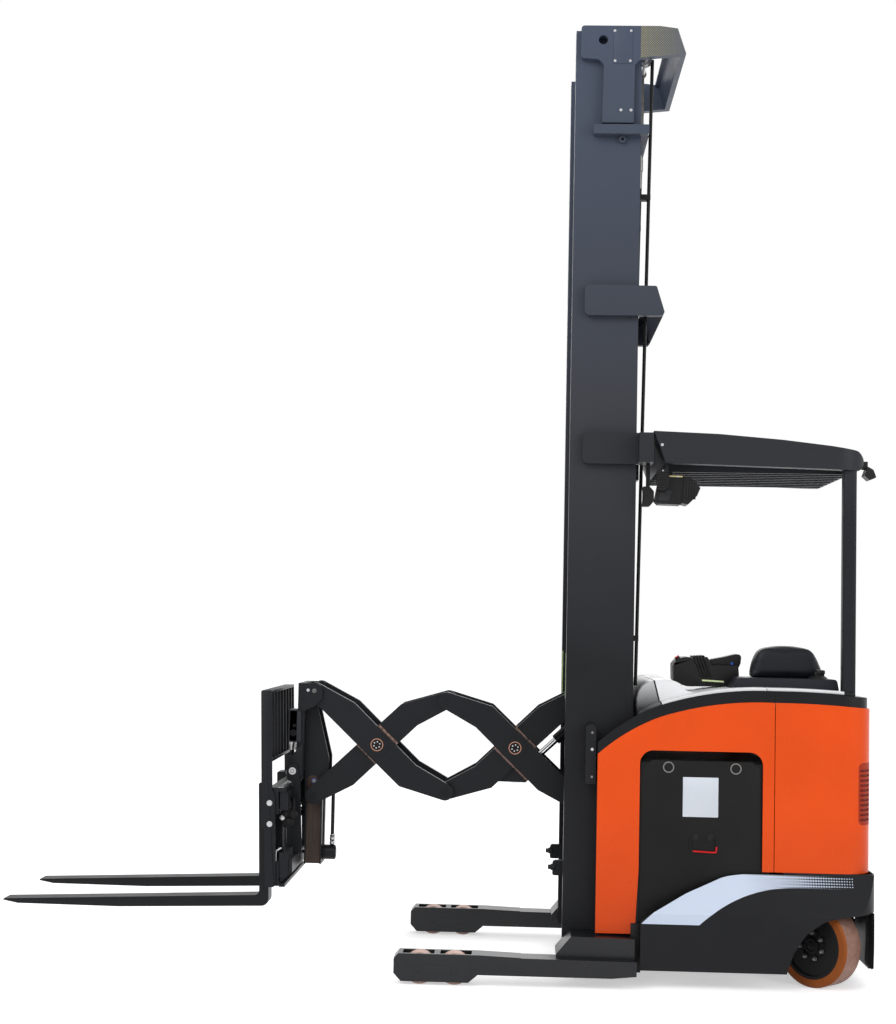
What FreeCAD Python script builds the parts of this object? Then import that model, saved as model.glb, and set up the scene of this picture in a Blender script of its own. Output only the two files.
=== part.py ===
"""Stand-up double-deep reach truck: straddle legs, three-stage mast, double scissor reach, tilting forks.

Millimetres. x grows from the fork tips towards the tractor's rear, y from the closed side of the
tractor to its other side, z up from the floor. Sizes are set in a construction frame whose x = 0
lies a little ahead of the mast; every piece is moved at the end so that the truck's box is centred.
"""
import FreeCAD, Part
import math
import os

V = FreeCAD.Vector
NEAR = -1
FAR = 1
SIDES = (("near", NEAR), ("far", FAR))

# running gaps
gap = 5.0
pin_gap = 0.3
seat = 0.3

# base legs
leg_out = 650.0
leg_width = 115.0
leg_in = leg_out - leg_width
leg_tip_x = -481.0
leg_end_x = 500.0
leg_top = 118.0
leg_under = 45.0
fairing_rear_x = -140.0
fairing_under = 13.0
wheel_r = 63.5
load_wheel_width = 73.0
load_wheel_x = (-376.0, -235.0)
load_axle_r = 12.0
pocket_front_x = -446.0
pocket_rear_x = -166.0
pocket_bridge = 24.0

# mast foot over each leg
foot_front_x = 176.0
foot_top = 200.0
foot_slope = 60.0

# tractor body
body_front_x = 336.0
body_rear_x = 1475.0
body_half = 530.0
sheet = 6.0
skirt_front_x = 516.0
skirt_half = 600.0
skirt_bottom = 72.0
skirt_shoulder = 300.0
skirt_top = 470.0
skirt_round = 110.0
wide = skirt_half + 150.0
panel_seam_x = 1062.0
orange_low = 206.0
battery_x0 = 510.0
battery_x1 = 1014.0
battery_sill = 255.0
battery_head = 955.0
floor_z = 235.0
floor_thick = 20.0
mat_thick = 8.0
mat_top = floor_z + mat_thick
tower_y = -170.0
bulkhead_x = 1030.0
bulkhead_thick = 12.0
lid_z = 1138.0
panel_top_front = 935.0
panel_top_mid = 1092.0
panel_top_rear = 1160.0
trim_rise = 48.0
vent_x0 = 1405.0
vent_z0 = 667.0
vent_z1 = 921.0
vent_in = 440.0
pad_seat_z = 1258.0

# drive wheel, drawn at its steering angle in the photo
drive_wheel_r = 171.5
drive_wheel_width = 114.0
drive_hub_r = 137.0
tyre_chamfer = 8.0
steer_x = 1265.0
steer_y = -438.5
drive_offset = 10.0
steer_angle = 43.5
turntable_r = 80.0

# caster under the operator's floor
caster_x = 1290.0
caster_y = 345.0
caster_trail = 42.0
caster_wheel_r = 75.0
caster_wheel_width = 48.0
caster_spread = 34.0

# overhead guard
guard_half = 530.0
guard_front_x = 550.0
guard_rear_x = 1440.0
guard_top = 2277.0
post_x = 1366.0
post_y = -480.0
post_r = 28.0
post_top = 2126.0

# lamps under the guard and behind it
lamp_y = -395.0
lamp_half = 55.0

# mast rails: half width over the web, web, flange reach, front and rear x, flange, foot and
# the heights of the cross bars that join a pair
mast_top = 4015.0
rails = {
    "mast_outer": dict(half=395.0, web=14.0, reach=65.0, x0=204.0, x1=486.0, flange=18.0, foot=100.0),
    "mast_middle": dict(half=375.0, web=12.0, reach=64.0, x0=227.0, x1=463.0, flange=17.0, foot=70.0),
    "mast_inner": dict(half=357.0, web=12.0, reach=62.0, x0=249.0, x1=441.0, flange=16.0, foot=130.0),
}
lift_eye_x = 318.0
lift_eye_z = mast_top - 50
lift_eye_r = 20.0
cheek_thick = 38.0
brace_mid_z = 2776.0
beam_z = mast_top - 460
beam_high = 41.0
beam_rear_x = 519.0
sheave_x = 510.0
sheave_down = 98.0
sheave_axle_r = 9.0
hose_sheave_r = 20.0
hose_y = 300.0
chain_y = 100.0
crossbar_rear_x = 415.0
middle_bar_z = mast_top - 115
inner_bar_z = mast_top - 80
lift_x = 454.0
lift_y = 245.0
lift_stroke = 2900.0
free_lift = 2550.0

# scissor arms
pivot_z = 925.0
hinge_x = 272.0
arm_half = 360.0
arm_end_angle = 39.6
arm_mid_angle = 33.4
arm_slope = 44.0
arm_depth = 116.0
arm_end_r = 36.0
arm_thick = 30.0
inner_arm_y = 82.0
outer_arm_y = 115.0
pivot_pin_r = 20.0
hub_r = 49.0
hub_high = 3.0
fold_angle = 40.0
roller_r = 30.0

# fork side
fork_x = -1092.0
fork_thick = 40.0
fork_under = 253.0
fork_length = 1092.0
fork_tip_thick = 12.0
fork_out = 343.0
fork_width = 100.0
fork_top = 770.0
fork_droop = 1.7
tilt_x = -969.0
tilt_z = 806.0
tilt_back_x = -949.0
slide_bar_top = 735.0
tilt_rod_z = 440.0
tilt_rod_r = 17.0
nose_gap = 0.8
tilt_barrel_x = -912.0
tilt_barrel_r = 32.0
side_shift = 50.0
backrest_half = 375.0
backrest_top = 1160.0


def block(x0, x1, y0, y1, z0, z1):
    return Part.makeBox(x1 - x0, y1 - y0, z1 - z0, V(x0, y0, z0))


def rod_y(x, z, r, y0, y1):
    return Part.makeCylinder(r, y1 - y0, V(x, y0, z), V(0, 1, 0))


def rod_z(x, y, r, z0, z1):
    return Part.makeCylinder(r, z1 - z0, V(x, y, z0), V(0, 0, 1))


def rod_between(a, b, r):
    return Part.makeCylinder(r, (b - a).Length, a, b - a)


def rounded_wire(points):
    """Closed wire through points (u, v, place, radius), every corner with a radius an arc."""
    count = len(points)
    starts = []
    ends = []
    mids = []
    for i, (p, r) in enumerate(points):
        before = points[i - 1][0]
        after = points[(i + 1) % count][0]
        if r <= 0:
            starts.append(p)
            ends.append(p)
            mids.append(None)
            continue
        a = (before - p).normalize()
        b = (after - p).normalize()
        half = a.getAngle(b) / 2
        reach = r / math.tan(half)
        middle = (a + b).normalize()
        starts.append(p + a * reach)
        ends.append(p + b * reach)
        mids.append(p + middle * (r / math.sin(half) - r))
    edges = []
    for i in range(count):
        if mids[i] is not None:
            edges.append(Part.Arc(starts[i], mids[i], ends[i]).toShape())
        following = starts[(i + 1) % count]
        if (following - ends[i]).Length > 1e-6:
            edges.append(Part.makeLine(ends[i], following))
    return Part.Wire(edges)


def plate_xz(points, y0, y1):
    """Plate across y whose outline is a list of (x, z) or (x, z, corner radius)."""
    corners = [(V(p[0], y0, p[1]), p[2] if len(p) > 2 else 0) for p in points]
    return Part.Face(rounded_wire(corners)).extrude(V(0, y1 - y0, 0))


def plate_xy(points, z0, z1):
    corners = [(V(p[0], p[1], z0), p[2] if len(p) > 2 else 0) for p in points]
    return Part.Face(rounded_wire(corners)).extrude(V(0, 0, z1 - z0))


def plate_yz(points, x0, x1):
    corners = [(V(x0, p[0], p[1]), p[2] if len(p) > 2 else 0) for p in points]
    return Part.Face(rounded_wire(corners)).extrude(V(x1 - x0, 0, 0))


def flip(shape):
    return shape.mirror(V(0, 0, 0), V(0, 1, 0))


def on_side(shape, side):
    """A shape drawn for the far side (y above zero), placed on either side."""
    return shape if side == FAR else flip(shape)


def both(shape):
    """A far-side shape with its mirror image, as one piece where they touch."""
    return join([shape, flip(shape)])


def join(shapes):
    whole = shapes[0].multiFuse(list(shapes[1:]))
    return whole.removeSplitter()


def turned(shape, centre, axis, degrees):
    copy = shape.copy()
    copy.rotate(centre, axis, degrees)
    return copy


nodes = {}


def base_leg():
    """One straddle leg, far side: arm, wheel fairing with an open pocket, and mast foot."""
    arm = plate_xz([(fairing_rear_x - 40, leg_under), (fairing_rear_x - 40, leg_top),
                    (leg_end_x, leg_top - gap), (leg_end_x, leg_under + 10),
                    (leg_end_x - 100, leg_under)], leg_in, leg_out)
    fairing = plate_xz([(leg_tip_x, leg_under), (leg_tip_x, leg_top - 14), (leg_tip_x + 18, leg_top + 6),
                        (pocket_rear_x + 30, leg_top + 6), (33, leg_top), (33, leg_under),
                        (fairing_rear_x, leg_under), (fairing_rear_x - 38, fairing_under),
                        (leg_tip_x + 30, fairing_under)], leg_in, leg_out)
    wall = (leg_width - load_wheel_width - 2 * gap) / 2
    pocket = block(pocket_front_x, pocket_rear_x, leg_in + wall, leg_out - wall, 0, 200)
    middle = sum(load_wheel_x) / 2
    bridge = block(middle - pocket_bridge / 2, middle + pocket_bridge / 2, leg_in + wall, leg_out - wall,
                   leg_top - 8, leg_top + 6)
    shape = join([arm, fairing]).cut(pocket)
    for x in load_wheel_x:
        shape = shape.cut(rod_y(x, wheel_r, load_axle_r + pin_gap, leg_in - 1, leg_out + 1))
    foot = plate_xz([(foot_front_x, leg_top - 10), (foot_front_x, leg_top + 10),
                     (foot_front_x + foot_slope, foot_top, 12), (leg_end_x - 6, foot_top - 5),
                     (leg_end_x - 6, leg_top - 10)],
                    rails["mast_outer"]["half"] + seat, leg_in + 60)
    return join([shape, bridge, foot])


def load_wheels():
    wall_y = leg_in + leg_width / 2
    nodes["base_legs"] = both(base_leg())
    nodes["load_axles"] = both(join([rod_y(x, wheel_r, load_axle_r, leg_in + 2, leg_out - 2)
                                     for x in load_wheel_x]))
    for side_name, side in SIDES:
        for place, x in zip(("front", "rear"), load_wheel_x):
            tread = rod_y(x, wheel_r, wheel_r, wall_y - load_wheel_width / 2, wall_y + load_wheel_width / 2)
            tread = tread.cut(rod_y(x, wheel_r, load_axle_r + pin_gap / 3, leg_in, leg_out))
            nodes[f"load_wheel_{side_name}_{place}"] = on_side(tread, side)


def plan_outline(half, rear, corner, front, z0, z1):
    """Block over the body's plan, its two rear corners rounded."""
    return plate_xy([(front, -half), (rear, -half, corner), (rear, half, corner), (front, half)], z0, z1)


def skirt():
    """Flared lower shell round the tractor, open in front, over the drive wheel and at the caster."""
    def shell(inset):
        half = skirt_half - inset
        top_half = body_half - inset
        section = plate_yz([(-half, skirt_bottom - 1 + (0 if inset else 1)), (-half, skirt_shoulder),
                            (-top_half, skirt_top + (1 if inset else 0)),
                            (top_half, skirt_top + (1 if inset else 0)), (half, skirt_shoulder),
                            (half, skirt_bottom - 1 + (0 if inset else 1))],
                           skirt_front_x - (1 if inset else 0), body_rear_x - inset)
        plan = plan_outline(half, body_rear_x - inset, skirt_round - inset,
                            skirt_front_x - (1 if inset else 0), skirt_bottom - 1, skirt_top + 1)
        return section.common(plan)

    wall = shell(0).cut(shell(sheet))
    bottom = skirt_bottom - 10
    low_front = plate_xz([(skirt_front_x - 20, battery_sill), (560, 300, 60), (700, 380, 200),
                          (860, 450, 200), (950, skirt_top - 8, 200), (1100, skirt_top - 8),
                          (1100, skirt_top + 50), (skirt_front_x - 20, skirt_top + 50)],
                         -skirt_half - 20, skirt_half + 20)
    arch = plate_xz([(1106, bottom), (1112, 90), (1134, 153, 60), (1184, 231, 80), (1262, 287, 120),
                     (1343, 304, 200), (body_rear_x + 20, 322), (body_rear_x + 20, bottom)],
                    -skirt_half - 20, -420)
    doorway = block(bulkhead_x + 60, body_rear_x + 20, tower_y + 60, body_half - 60,
                    skirt_bottom - 20, skirt_top + 20)
    doorway = doorway.common(block(body_rear_x - 40, body_rear_x + 20, -skirt_half, skirt_half,
                                   floor_z - floor_thick, skirt_top + 20))
    return wall.cut(low_front).cut(arch).cut(doorway)


def top_profile(rise):
    """Edges of the body's side in view from front to rear, rise above the painted panel's edge."""
    front = V(body_front_x, 0, panel_top_front + rise)
    bend = V(426, 0, 1006 + rise)
    a = V(590, 0, panel_top_mid + rise)
    b = V(830, 0, 1148 + rise)
    c = V(panel_seam_x, 0, panel_top_rear + rise)
    d = V(1270, 0, panel_top_rear - 4 + rise)
    e = V(body_rear_x + 1, 0, 1140 + rise)
    return [Part.Arc(front, bend, a).toShape(), Part.Arc(a, b, c).toShape(), Part.Arc(c, d, e).toShape()]


def under_profile(rise, low, y0, y1):
    """Everything under the body's top line, from low up, between y0 and y1."""
    top = top_profile(rise)
    first = top[0].Vertexes[0].Point
    last = top[-1].Vertexes[-1].Point
    down = V(last.x, 0, low)
    back = V(first.x, 0, low)
    wire = Part.Wire(top + [Part.makeLine(last, down), Part.makeLine(down, back), Part.makeLine(back, first)])
    face = Part.Face(wire)
    face.translate(V(0, y0, 0))
    return face.extrude(V(0, y1 - y0, 0))


def body_ring(front, thick):
    """Vertical wall of the body's plan, thick mm, with rounded rear corners."""
    outer = plan_outline(body_half, body_rear_x - 10, skirt_round, front, orange_low, 1300)
    inner = plan_outline(body_half - thick, body_rear_x - 10 - thick, skirt_round - thick, front - 1,
                         orange_low - 1, 1301)
    return outer.cut(inner)


def painted_panels():
    """Painted side panels: battery surround in front of the seam, corner shell behind it."""
    wall = body_ring(body_front_x, sheet)
    under = under_profile(0, orange_low, -wide, wide)
    wall = wall.common(under)
    opening = plate_xz([(battery_x0, battery_sill - 60), (battery_x0, battery_head, 55),
                        (battery_x1, battery_head, 55), (battery_x1, skirt_top - 60)], -wide, wide)
    below = plate_xz([(battery_x0 - 10, orange_low - 10), (battery_x0 - 10, battery_sill + 10),
                      (battery_x0, skirt_top), (body_rear_x + 10, skirt_top), (body_rear_x + 10, orange_low - 10)],
                     -wide, wide)
    seam = 1.5
    front = wall.common(block(0, panel_seam_x - seam, -wide, wide, 0, 1400)).cut(opening).cut(below)
    rear = wall.common(block(panel_seam_x + seam, 2000, -wide, wide, 0, 1400)).cut(below)
    doorway = block(body_rear_x - 60, body_rear_x + 20, tower_y + 12, body_half - 100, 100, 1400)
    rear = rear.cut(doorway)
    vent = plate_xz([(vent_x0, vent_z0, 22), (vent_x0, vent_z1, 22), (body_rear_x, vent_z1),
                     (body_rear_x, vent_z0)], -wide, wide)
    vent = vent.cut(block(0, 2000, -vent_in, vent_in, 0, 2000))
    nodes["side_panels"] = front
    nodes["corner_panels"] = rear.cut(vent)
    screen = body_ring(body_front_x, sheet)
    frame = plate_xz([(vent_x0 + seat, vent_z0 + seat, 22), (vent_x0 + seat, vent_z1 - seat, 22),
                      (body_rear_x, vent_z1 - seat), (body_rear_x, vent_z0 + seat)], -wide, wide)
    frame = frame.cut(block(0, 2000, -vent_in - seat, vent_in + seat, 0, 2000))
    slots = [block(vent_x0 + 8, body_rear_x + 5, vent_in + 9, wide, vent_z0 + 17 + 20 * i, vent_z0 + 27 + 20 * i)
             for i in range(11)]
    slots += [flip(slot) for slot in slots]
    nodes["corner_vents"] = screen.common(frame).cut(Part.makeCompound(slots))


def trim_and_hood():
    """Dark band along the top of each side and the hood that spans between them."""
    band_in = 14.0
    band = under_profile(trim_rise, 600, body_half - band_in, body_half - 1)
    band = band.cut(under_profile(1.0, 500, body_half - band_in - 1, body_half + 1))
    rear_end = block(1345, 2000, 0, wide, 0, 2000)
    nodes["trim_bands"] = both(band.cut(rear_end))
    hood_y = body_half - band_in - seat
    hood = under_profile(trim_rise - 4, 600, -hood_y, hood_y).cut(under_profile(trim_rise - 16, 500, -wide, wide))
    hood = hood.common(block(leg_end_x, bulkhead_x, -wide, wide, 0, 2000))
    crown = plate_xz([(leg_end_x, 1100), (leg_end_x, 1196, 20), (560, 1250, 60), (690, 1262, 40),
                      (880, 1216, 30), (900, 1190), (900, 1150)], -430, 430)
    crown = crown.cut(under_profile(trim_rise - 4, 500, -wide, wide))
    nodes["hood"] = join([hood, crown])


def chassis():
    """Deck, bulkheads, tower walls, drive mounting plate and caster plate, all welded."""
    inner = body_half - sheet - seat
    front_wall = block(leg_end_x, leg_end_x + bulkhead_thick, -inner, inner, leg_under + 20, 1020)
    tray = block(leg_end_x, bulkhead_x + bulkhead_thick, -inner, inner, floor_z - floor_thick, floor_z)
    rear_wall = block(bulkhead_x, bulkhead_x + bulkhead_thick, -inner, inner, floor_z - floor_thick, lid_z)
    deck = block(bulkhead_x, body_rear_x - sheet - 1, tower_y, inner, floor_z - floor_thick, floor_z)
    corner = plan_outline(inner, body_rear_x - 10 - sheet - seat, skirt_round - sheet, leg_end_x, 0, 2000)
    tower = block(bulkhead_x, body_rear_x - 20, tower_y, tower_y + bulkhead_thick,
                  floor_z - floor_thick, lid_z)
    mount = block(bulkhead_x, body_rear_x - 20, -inner, tower_y + 2, 420, 440)
    mount = mount.cut(rod_z(steer_x, steer_y, turntable_r + seat, 400, 460))
    lid = block(bulkhead_x, body_rear_x - 20, -inner, tower_y + 2, lid_z - 10, lid_z)
    frame = join([front_wall, tray, rear_wall, deck.common(corner), tower.common(corner),
                  mount.common(corner), lid.common(corner)])
    return frame.common(under_profile(-seat, 0, -inner, inner))


def counter_top():
    """Cover over the drive tower behind the hood, with the pad's base slab."""
    inner = body_half - 15
    top = plan_outline(inner, body_rear_x - 20, skirt_round - 16, bulkhead_x + 1, lid_z + seat, 1205)
    top = top.common(under_profile(trim_rise - 4, 600, -wide, wide))
    post_hole = block(post_x - post_r - seat, post_x + post_r + seat, post_y - post_r - seat,
                      post_y + post_r + seat, 1100, 1300)
    return top.cut(block(0, 2000, tower_y + bulkhead_thick, wide, 0, 2000)).cut(post_hole)


def pad_base():
    slab = plate_xz([(890, 1205.5), (925, pad_seat_z, 14), (1330, pad_seat_z, 14), (1340, 1205.5)], -430, tower_y - 30)
    return slab


def back_pad():
    low = pad_seat_z + seat
    pad = plate_xz([(984, low), (1000, 1330, 40), (1020, 1389, 50), (1245, 1390, 50), (1270, 1330, 40),
                    (1300, low)], -330, -215)
    return pad


def console():
    """Control console on the hood with its ridged boot and grip."""
    body = plate_xz([(668, 1262), (664, 1300, 12), (690, 1340, 20), (740, 1345, 20), (845, 1345, 15),
                     (850, 1240), (700, 1245)], -230, -60)
    lifted = nodes["hood"].copy()
    lifted.translate(V(0, 0, seat))
    return body.cut(under_profile(trim_rise - 4 + seat, 500, -wide, wide)).cut(lifted).cut(nodes["hood"])


def control_handle():
    stem = rod_between(V(845, -145, 1300), V(900, -145, 1306), 17)
    grip = plate_xz([(880, 1278, 14), (880, 1330, 16), (950, 1345, 18), (962, 1318, 14), (948, 1284, 14)],
                    -185, -105)
    return stem.fuse(grip).removeSplitter().cut(nodes["console"])


def guard():
    """Overhead guard: tapered side beams, rear beam with rounded corners, front bar and slats."""
    outer = plate_xz([(guard_front_x, guard_top), (822, 2268, 600), (1086, 2248, 600), (1285, 2226, 600),
                      (1405, 2208, 46), (guard_rear_x, 2165, 34), (1406, 2126, 26), (1180, 2132, 400),
                      (601, 2144)], -guard_half, guard_half)
    plan = plan_outline(guard_half, guard_rear_x, 120, guard_front_x - 10, 2000, 2400)
    hollow = plan_outline(guard_half - 62, guard_rear_x - 70, 70, 612, 2000, 2400)
    frame = outer.common(plan).cut(hollow)
    slats = []
    count = 9
    pitch = 2 * (guard_half - 62) / (count + 1)
    for i in range(count):
        y = -(guard_half - 62) + pitch * (i + 1)
        bar = plate_xz([(600, 2218), (822, 2212, 600), (1086, 2194, 600), (1285, 2174, 600), (1385, 2160),
                        (1385, 2120), (1180, 2120, 400), (600, 2118)], y - 9, y + 9)
        slats.append(bar)
    return join([frame] + slats)


def guard_brackets():
    out = rails["mast_outer"]["half"]
    plate = plate_xz([(256, 2145, 22), (256, 2280, 22), (guard_front_x + 8, guard_top), (610, 2145)],
                     out + seat, out + cheek_thick)
    spread = block(guard_front_x - 60, guard_front_x - 0.5, out + 30, guard_half, 2146, 2270)
    return both(join([plate.common(block(0, guard_front_x - 0.5, 0, 700, 0, 3000)), spread]))


def guard_post():
    post = plate_xy([(post_x - post_r, post_y - post_r, 12), (post_x + post_r, post_y - post_r, 12),
                     (post_x + post_r, post_y + post_r, 12), (post_x - post_r, post_y + post_r, 12)],
                    lid_z + seat, post_top)
    return post


def c_rail(name, z0, z1):
    """A pair of mast channels, open inwards."""
    r = rails[name]
    web = block(r["x0"], r["x1"], r["half"] - r["web"], r["half"], z0, z1)
    front = block(r["x0"], r["x0"] + r["flange"], r["half"] - r["reach"], r["half"], z0, z1)
    rear = block(r["x1"] - r["flange"], r["x1"], r["half"] - r["reach"], r["half"], z0, z1)
    return join([web, front, rear])


def wear_pads(name, facing, z0, z1):
    """Slide pads on a rail's flanges that run, with a seat's clearance, against the facing rail."""
    r = rails[name]
    f = rails[facing]
    y1 = min(r["half"] - r["web"], f["half"] - f["web"]) - 2
    y0 = max(r["half"] - r["reach"], f["half"] - f["reach"]) + 8
    if r["half"] < f["half"]:
        front = block(f["x0"] + f["flange"] + seat, r["x0"] + 0.5, y0, y1, z0, z1)
        rear = block(r["x1"] - 0.5, f["x1"] - f["flange"] - seat, y0, y1, z0, z1)
    else:
        front = block(r["x0"] + r["flange"] - 0.5, f["x0"] - seat, y0, y1, z0, z1)
        rear = block(f["x1"] + seat, r["x1"] - r["flange"] + 0.5, y0, y1, z0, z1)
    return [front, rear]


def outer_mast():
    """Fixed rails with head cheeks, mid plates, slide bars and bosses; braces and side brackets apart."""
    out = rails["mast_outer"]["half"]
    rear = rails["mast_outer"]["x1"]
    brace_out = out + cheek_thick
    top = mast_top
    rail = c_rail("mast_outer", rails["mast_outer"]["foot"], mast_top)
    cheek = plate_xz([(224, top + 12, 14), (224, top - 129, 14), (300, top - 135, 20), (322, top - 157, 20),
                      (318, beam_z + 51), (452, beam_z + 51), (454, top - 156, 30), (480, top - 126),
                      (672, top - 108), (635, top + 2), (560, top + 12)], out, brace_out)
    ear_hole = rod_y(lift_eye_x, lift_eye_z, lift_eye_r, out - rails["mast_outer"]["web"] - 1, brace_out + 1)
    z = brace_mid_z
    middle = plate_xz([(256, z, 24), (256, z + 131, 24), (560, z + 129, 10), (595, z + 17, 10), (585, z + 2, 6)],
                      out, brace_out)
    bar = plate_xz([(282, beam_z, 6), (282, beam_z + beam_high, 12), (beam_rear_x, beam_z + beam_high, 8),
                    (beam_rear_x, beam_z, 8)], out, brace_out + 12)
    boss = rod_y(407, beam_z - 16, 15, out - 1, out + 20)
    pads = wear_pads("mast_outer", "mast_middle", mast_top - 110, mast_top - 30)
    nodes["mast_outer"] = both(join([rail, cheek, middle, bar, boss] + pads).cut(ear_hole))
    inside = out - seat
    top_cross = plate_xz([(648, top - 110), (672, top - 108), (637, top + 2), (600, top + 8),
                          (600, top - 2), (620, top - 8)], -inside, inside)
    mid_cross = plate_xz([(590, z + 6), (596, z + 20), (563, z + 127), (536, z + 130), (536, z + 120),
                          (552, z + 117)], -inside, inside)
    beam = block(rear + seat, beam_rear_x, -inside, inside, beam_z, beam_z + beam_high)
    low_cross = block(rear + seat, leg_end_x - seat, -out, out, 480, 640)
    bracket = plate_xz([(287, 808, 10), (287, 1054, 20), (330, 1054, 20), (330, 808)], out + seat, body_half - 32)
    nodes["mast_braces"] = Part.makeCompound([top_cross, mid_cross, beam, low_cross, bracket, flip(bracket)])


def nested_mast(name, outside, inside_rail, high_x0, high_x1, high_half, high_z):
    """A moving stage: two channels, a bar at the foot and a bar near the top."""
    r = rails[name]
    pad_rise = 60.0
    inside = r["half"] - r["web"] - seat
    rail = c_rail(name, r["foot"], mast_top)
    low = block(r["x0"] + r["flange"] + seat, crossbar_rear_x, -inside, inside, r["foot"] + 5, r["foot"] + 50)
    high = block(high_x0, high_x1, -high_half, high_half, high_z, high_z + 70)
    pads = wear_pads(name, outside, r["foot"] + pad_rise, r["foot"] + pad_rise + 60)
    if inside_rail:
        pads += wear_pads(name, inside_rail, mast_top - 110, mast_top - 30)
    return Part.makeCompound([both(join([rail] + pads)), low, high])


def lift_cylinders():
    barrel = rod_z(lift_x, lift_y, 29, rails["mast_outer"]["foot"] + 20, 3300)
    foot = block(lift_x - 32, leg_end_x - seat, lift_y - 32, lift_y + 32, rails["mast_outer"]["foot"],
                 rails["mast_outer"]["foot"] + 21)
    return join([barrel, foot]), rod_z(lift_x, lift_y, 19, 3300 + seat, middle_bar_z - seat)


def mast_pipes():
    """Hydraulic hoses that run up behind the mast to the sheaves at its head, with their clips."""
    low_z_end = 1212.0
    low_x = rails["mast_outer"]["x1"] + 15
    head_z = mast_top - sheave_down
    hose_r = 7.0
    top_x = sheave_x + hose_sheave_r + hose_r + seat
    rear = rails["mast_outer"]["x1"]
    lines = []
    for y in (-hose_y - 9, -hose_y + 9, hose_y):
        lines.append(rod_between(V(low_x, y, low_z_end), V(top_x, y, head_z), hose_r))
    clips = []
    for z in (1400, 2200, 3300):
        x = low_x + (top_x - low_x) * (z - low_z_end) / (head_z - low_z_end)
        for y0, y1 in ((-hose_y - 22, -hose_y + 18), (hose_y - 12, hose_y + 12)):
            clips.append(block(rear + seat, x + hose_r, y0, y1, z, z + 24))
        clips.append(block(rear + seat, rear + 6, -345, -hose_y, z, z + 24))
        clips.append(block(rear + seat, rear + 6, hose_y, 345, z, z + 24))
    return join(lines + clips)


def sheaves_and_chains():
    """Axle with hose sheaves under the top brace, and the two chains hung beside it down to the beam."""
    z = mast_top - sheave_down
    inside = rails["mast_outer"]["half"] - seat
    parts = [rod_y(sheave_x, z, sheave_axle_r, -inside, inside)]
    for y in (-hose_y, hose_y):
        wheel = rod_y(sheave_x, z, hose_sheave_r + 5, y - 22, y + 22)
        groove = rod_y(sheave_x, z, hose_sheave_r + 6, y - 17, y + 17).cut(
            rod_y(sheave_x, z, hose_sheave_r, y - 18, y + 18))
        parts.append(wheel.cut(groove))
    nodes["head_sheaves"] = join(parts)
    strands = []
    link = 26.0
    top = z - sheave_axle_r - 4
    foot = beam_z + beam_high + seat
    half_thick = 6.0
    for y in (-chain_y, chain_y):
        ring = rod_y(sheave_x, z, sheave_axle_r + 7, y - 8, y + 8).cut(
            rod_y(sheave_x, z, sheave_axle_r + pin_gap, y - 9, y + 9))
        pieces = [ring, block(sheave_x - 7, sheave_x + 7, y - 13, y + 13, foot, foot + 60)]
        count = int((top - foot - 60) / link) + 1
        for i in range(count):
            half = 12 if i % 2 else 8
            low = foot + 58 + i * link
            pieces.append(block(sheave_x - half_thick, sheave_x + half_thick, y - half, y + half,
                                low, min(low + link + 1, top)))
        strands.append(join(pieces))
        strands.append(join([rod_z(sheave_x - 6, y, 7, beam_z - 150, beam_z - seat),
                             rod_z(sheave_x - 6, y, 13, beam_z - 75, beam_z - 18)]))
    nodes["lift_chains"] = Part.makeCompound(strands)


def arm_outline():
    """Dog-legged arm about its centre pin: inner end up and forward, outer end down and back."""
    slope = math.tan(math.radians(arm_slope))
    rise = arm_depth / 2 / math.cos(math.radians(arm_slope))
    mid_x = -arm_half * math.cos(math.radians(arm_mid_angle))
    mid_z = arm_half * math.sin(math.radians(arm_mid_angle))
    end_x = arm_half * math.cos(math.radians(arm_end_angle))
    end_z = -arm_half * math.sin(math.radians(arm_end_angle))
    bend_top = -100.0
    bend_low = -172.0
    bend_end = 102.0
    r = arm_end_r
    return mid_x, mid_z, end_x, end_z, [
        (mid_x - 4, mid_z + r), (mid_x + 9, mid_z + r - 1), (bend_top, -slope * bend_top + rise, 12),
        (end_x + r * 0.7, end_z + r * 0.72), (end_x - r * 0.5, end_z - r * 0.87),
        (bend_end, -slope * bend_end - rise, 12), (bend_low, -slope * bend_low - rise, 12),
        (mid_x - 17, mid_z - r * 0.88)]


def arm_plate(mirrored, reversed_ends, y0, y1):
    """One arm plate about the origin; mirrored upside down, reversed end for end."""
    mid_x, mid_z, end_x, end_z, points = arm_outline()
    plate = join([plate_xz(points, y0, y1), rod_y(mid_x, mid_z, arm_end_r, y0, y1),
                  rod_y(end_x, end_z, arm_end_r, y0, y1)])
    for x, z in ((mid_x, mid_z), (0, 0), (end_x, end_z)):
        plate = plate.cut(rod_y(x, z, pivot_pin_r + pin_gap, y0 - 1, y1 + 1))
    if mirrored:
        plate = plate.mirror(V(0, 0, 0), V(0, 0, 1))
    if reversed_ends:
        plate = turned(plate, V(0, 0, 0), V(0, 1, 0), 180)
    return plate


mid_dx = arm_half * math.cos(math.radians(arm_mid_angle))
mid_dz = arm_half * math.sin(math.radians(arm_mid_angle))
end_dx = arm_half * math.cos(math.radians(arm_end_angle))
end_dz = arm_half * math.sin(math.radians(arm_end_angle))
rear_pivot_x = hinge_x - end_dx
knee_x = rear_pivot_x - mid_dx
front_pivot_x = knee_x - mid_dx
head_x = front_pivot_x - end_dx
top_z = pivot_z + end_dz
low_z = pivot_z - end_dz
knee_high = pivot_z + mid_dz
knee_low = pivot_z - mid_dz

# reach cylinder: eye on the rear inner arm, barrel pinned behind the carriage
cylinder_y = 28.0
eye_x = -2.0
eye_z = 792.0
barrel_x = 400.0
barrel_z = 1165.0
eye_pin_r = 12.0
barrel_r = 21.0
cylinder_rod_r = 12.0


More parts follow.
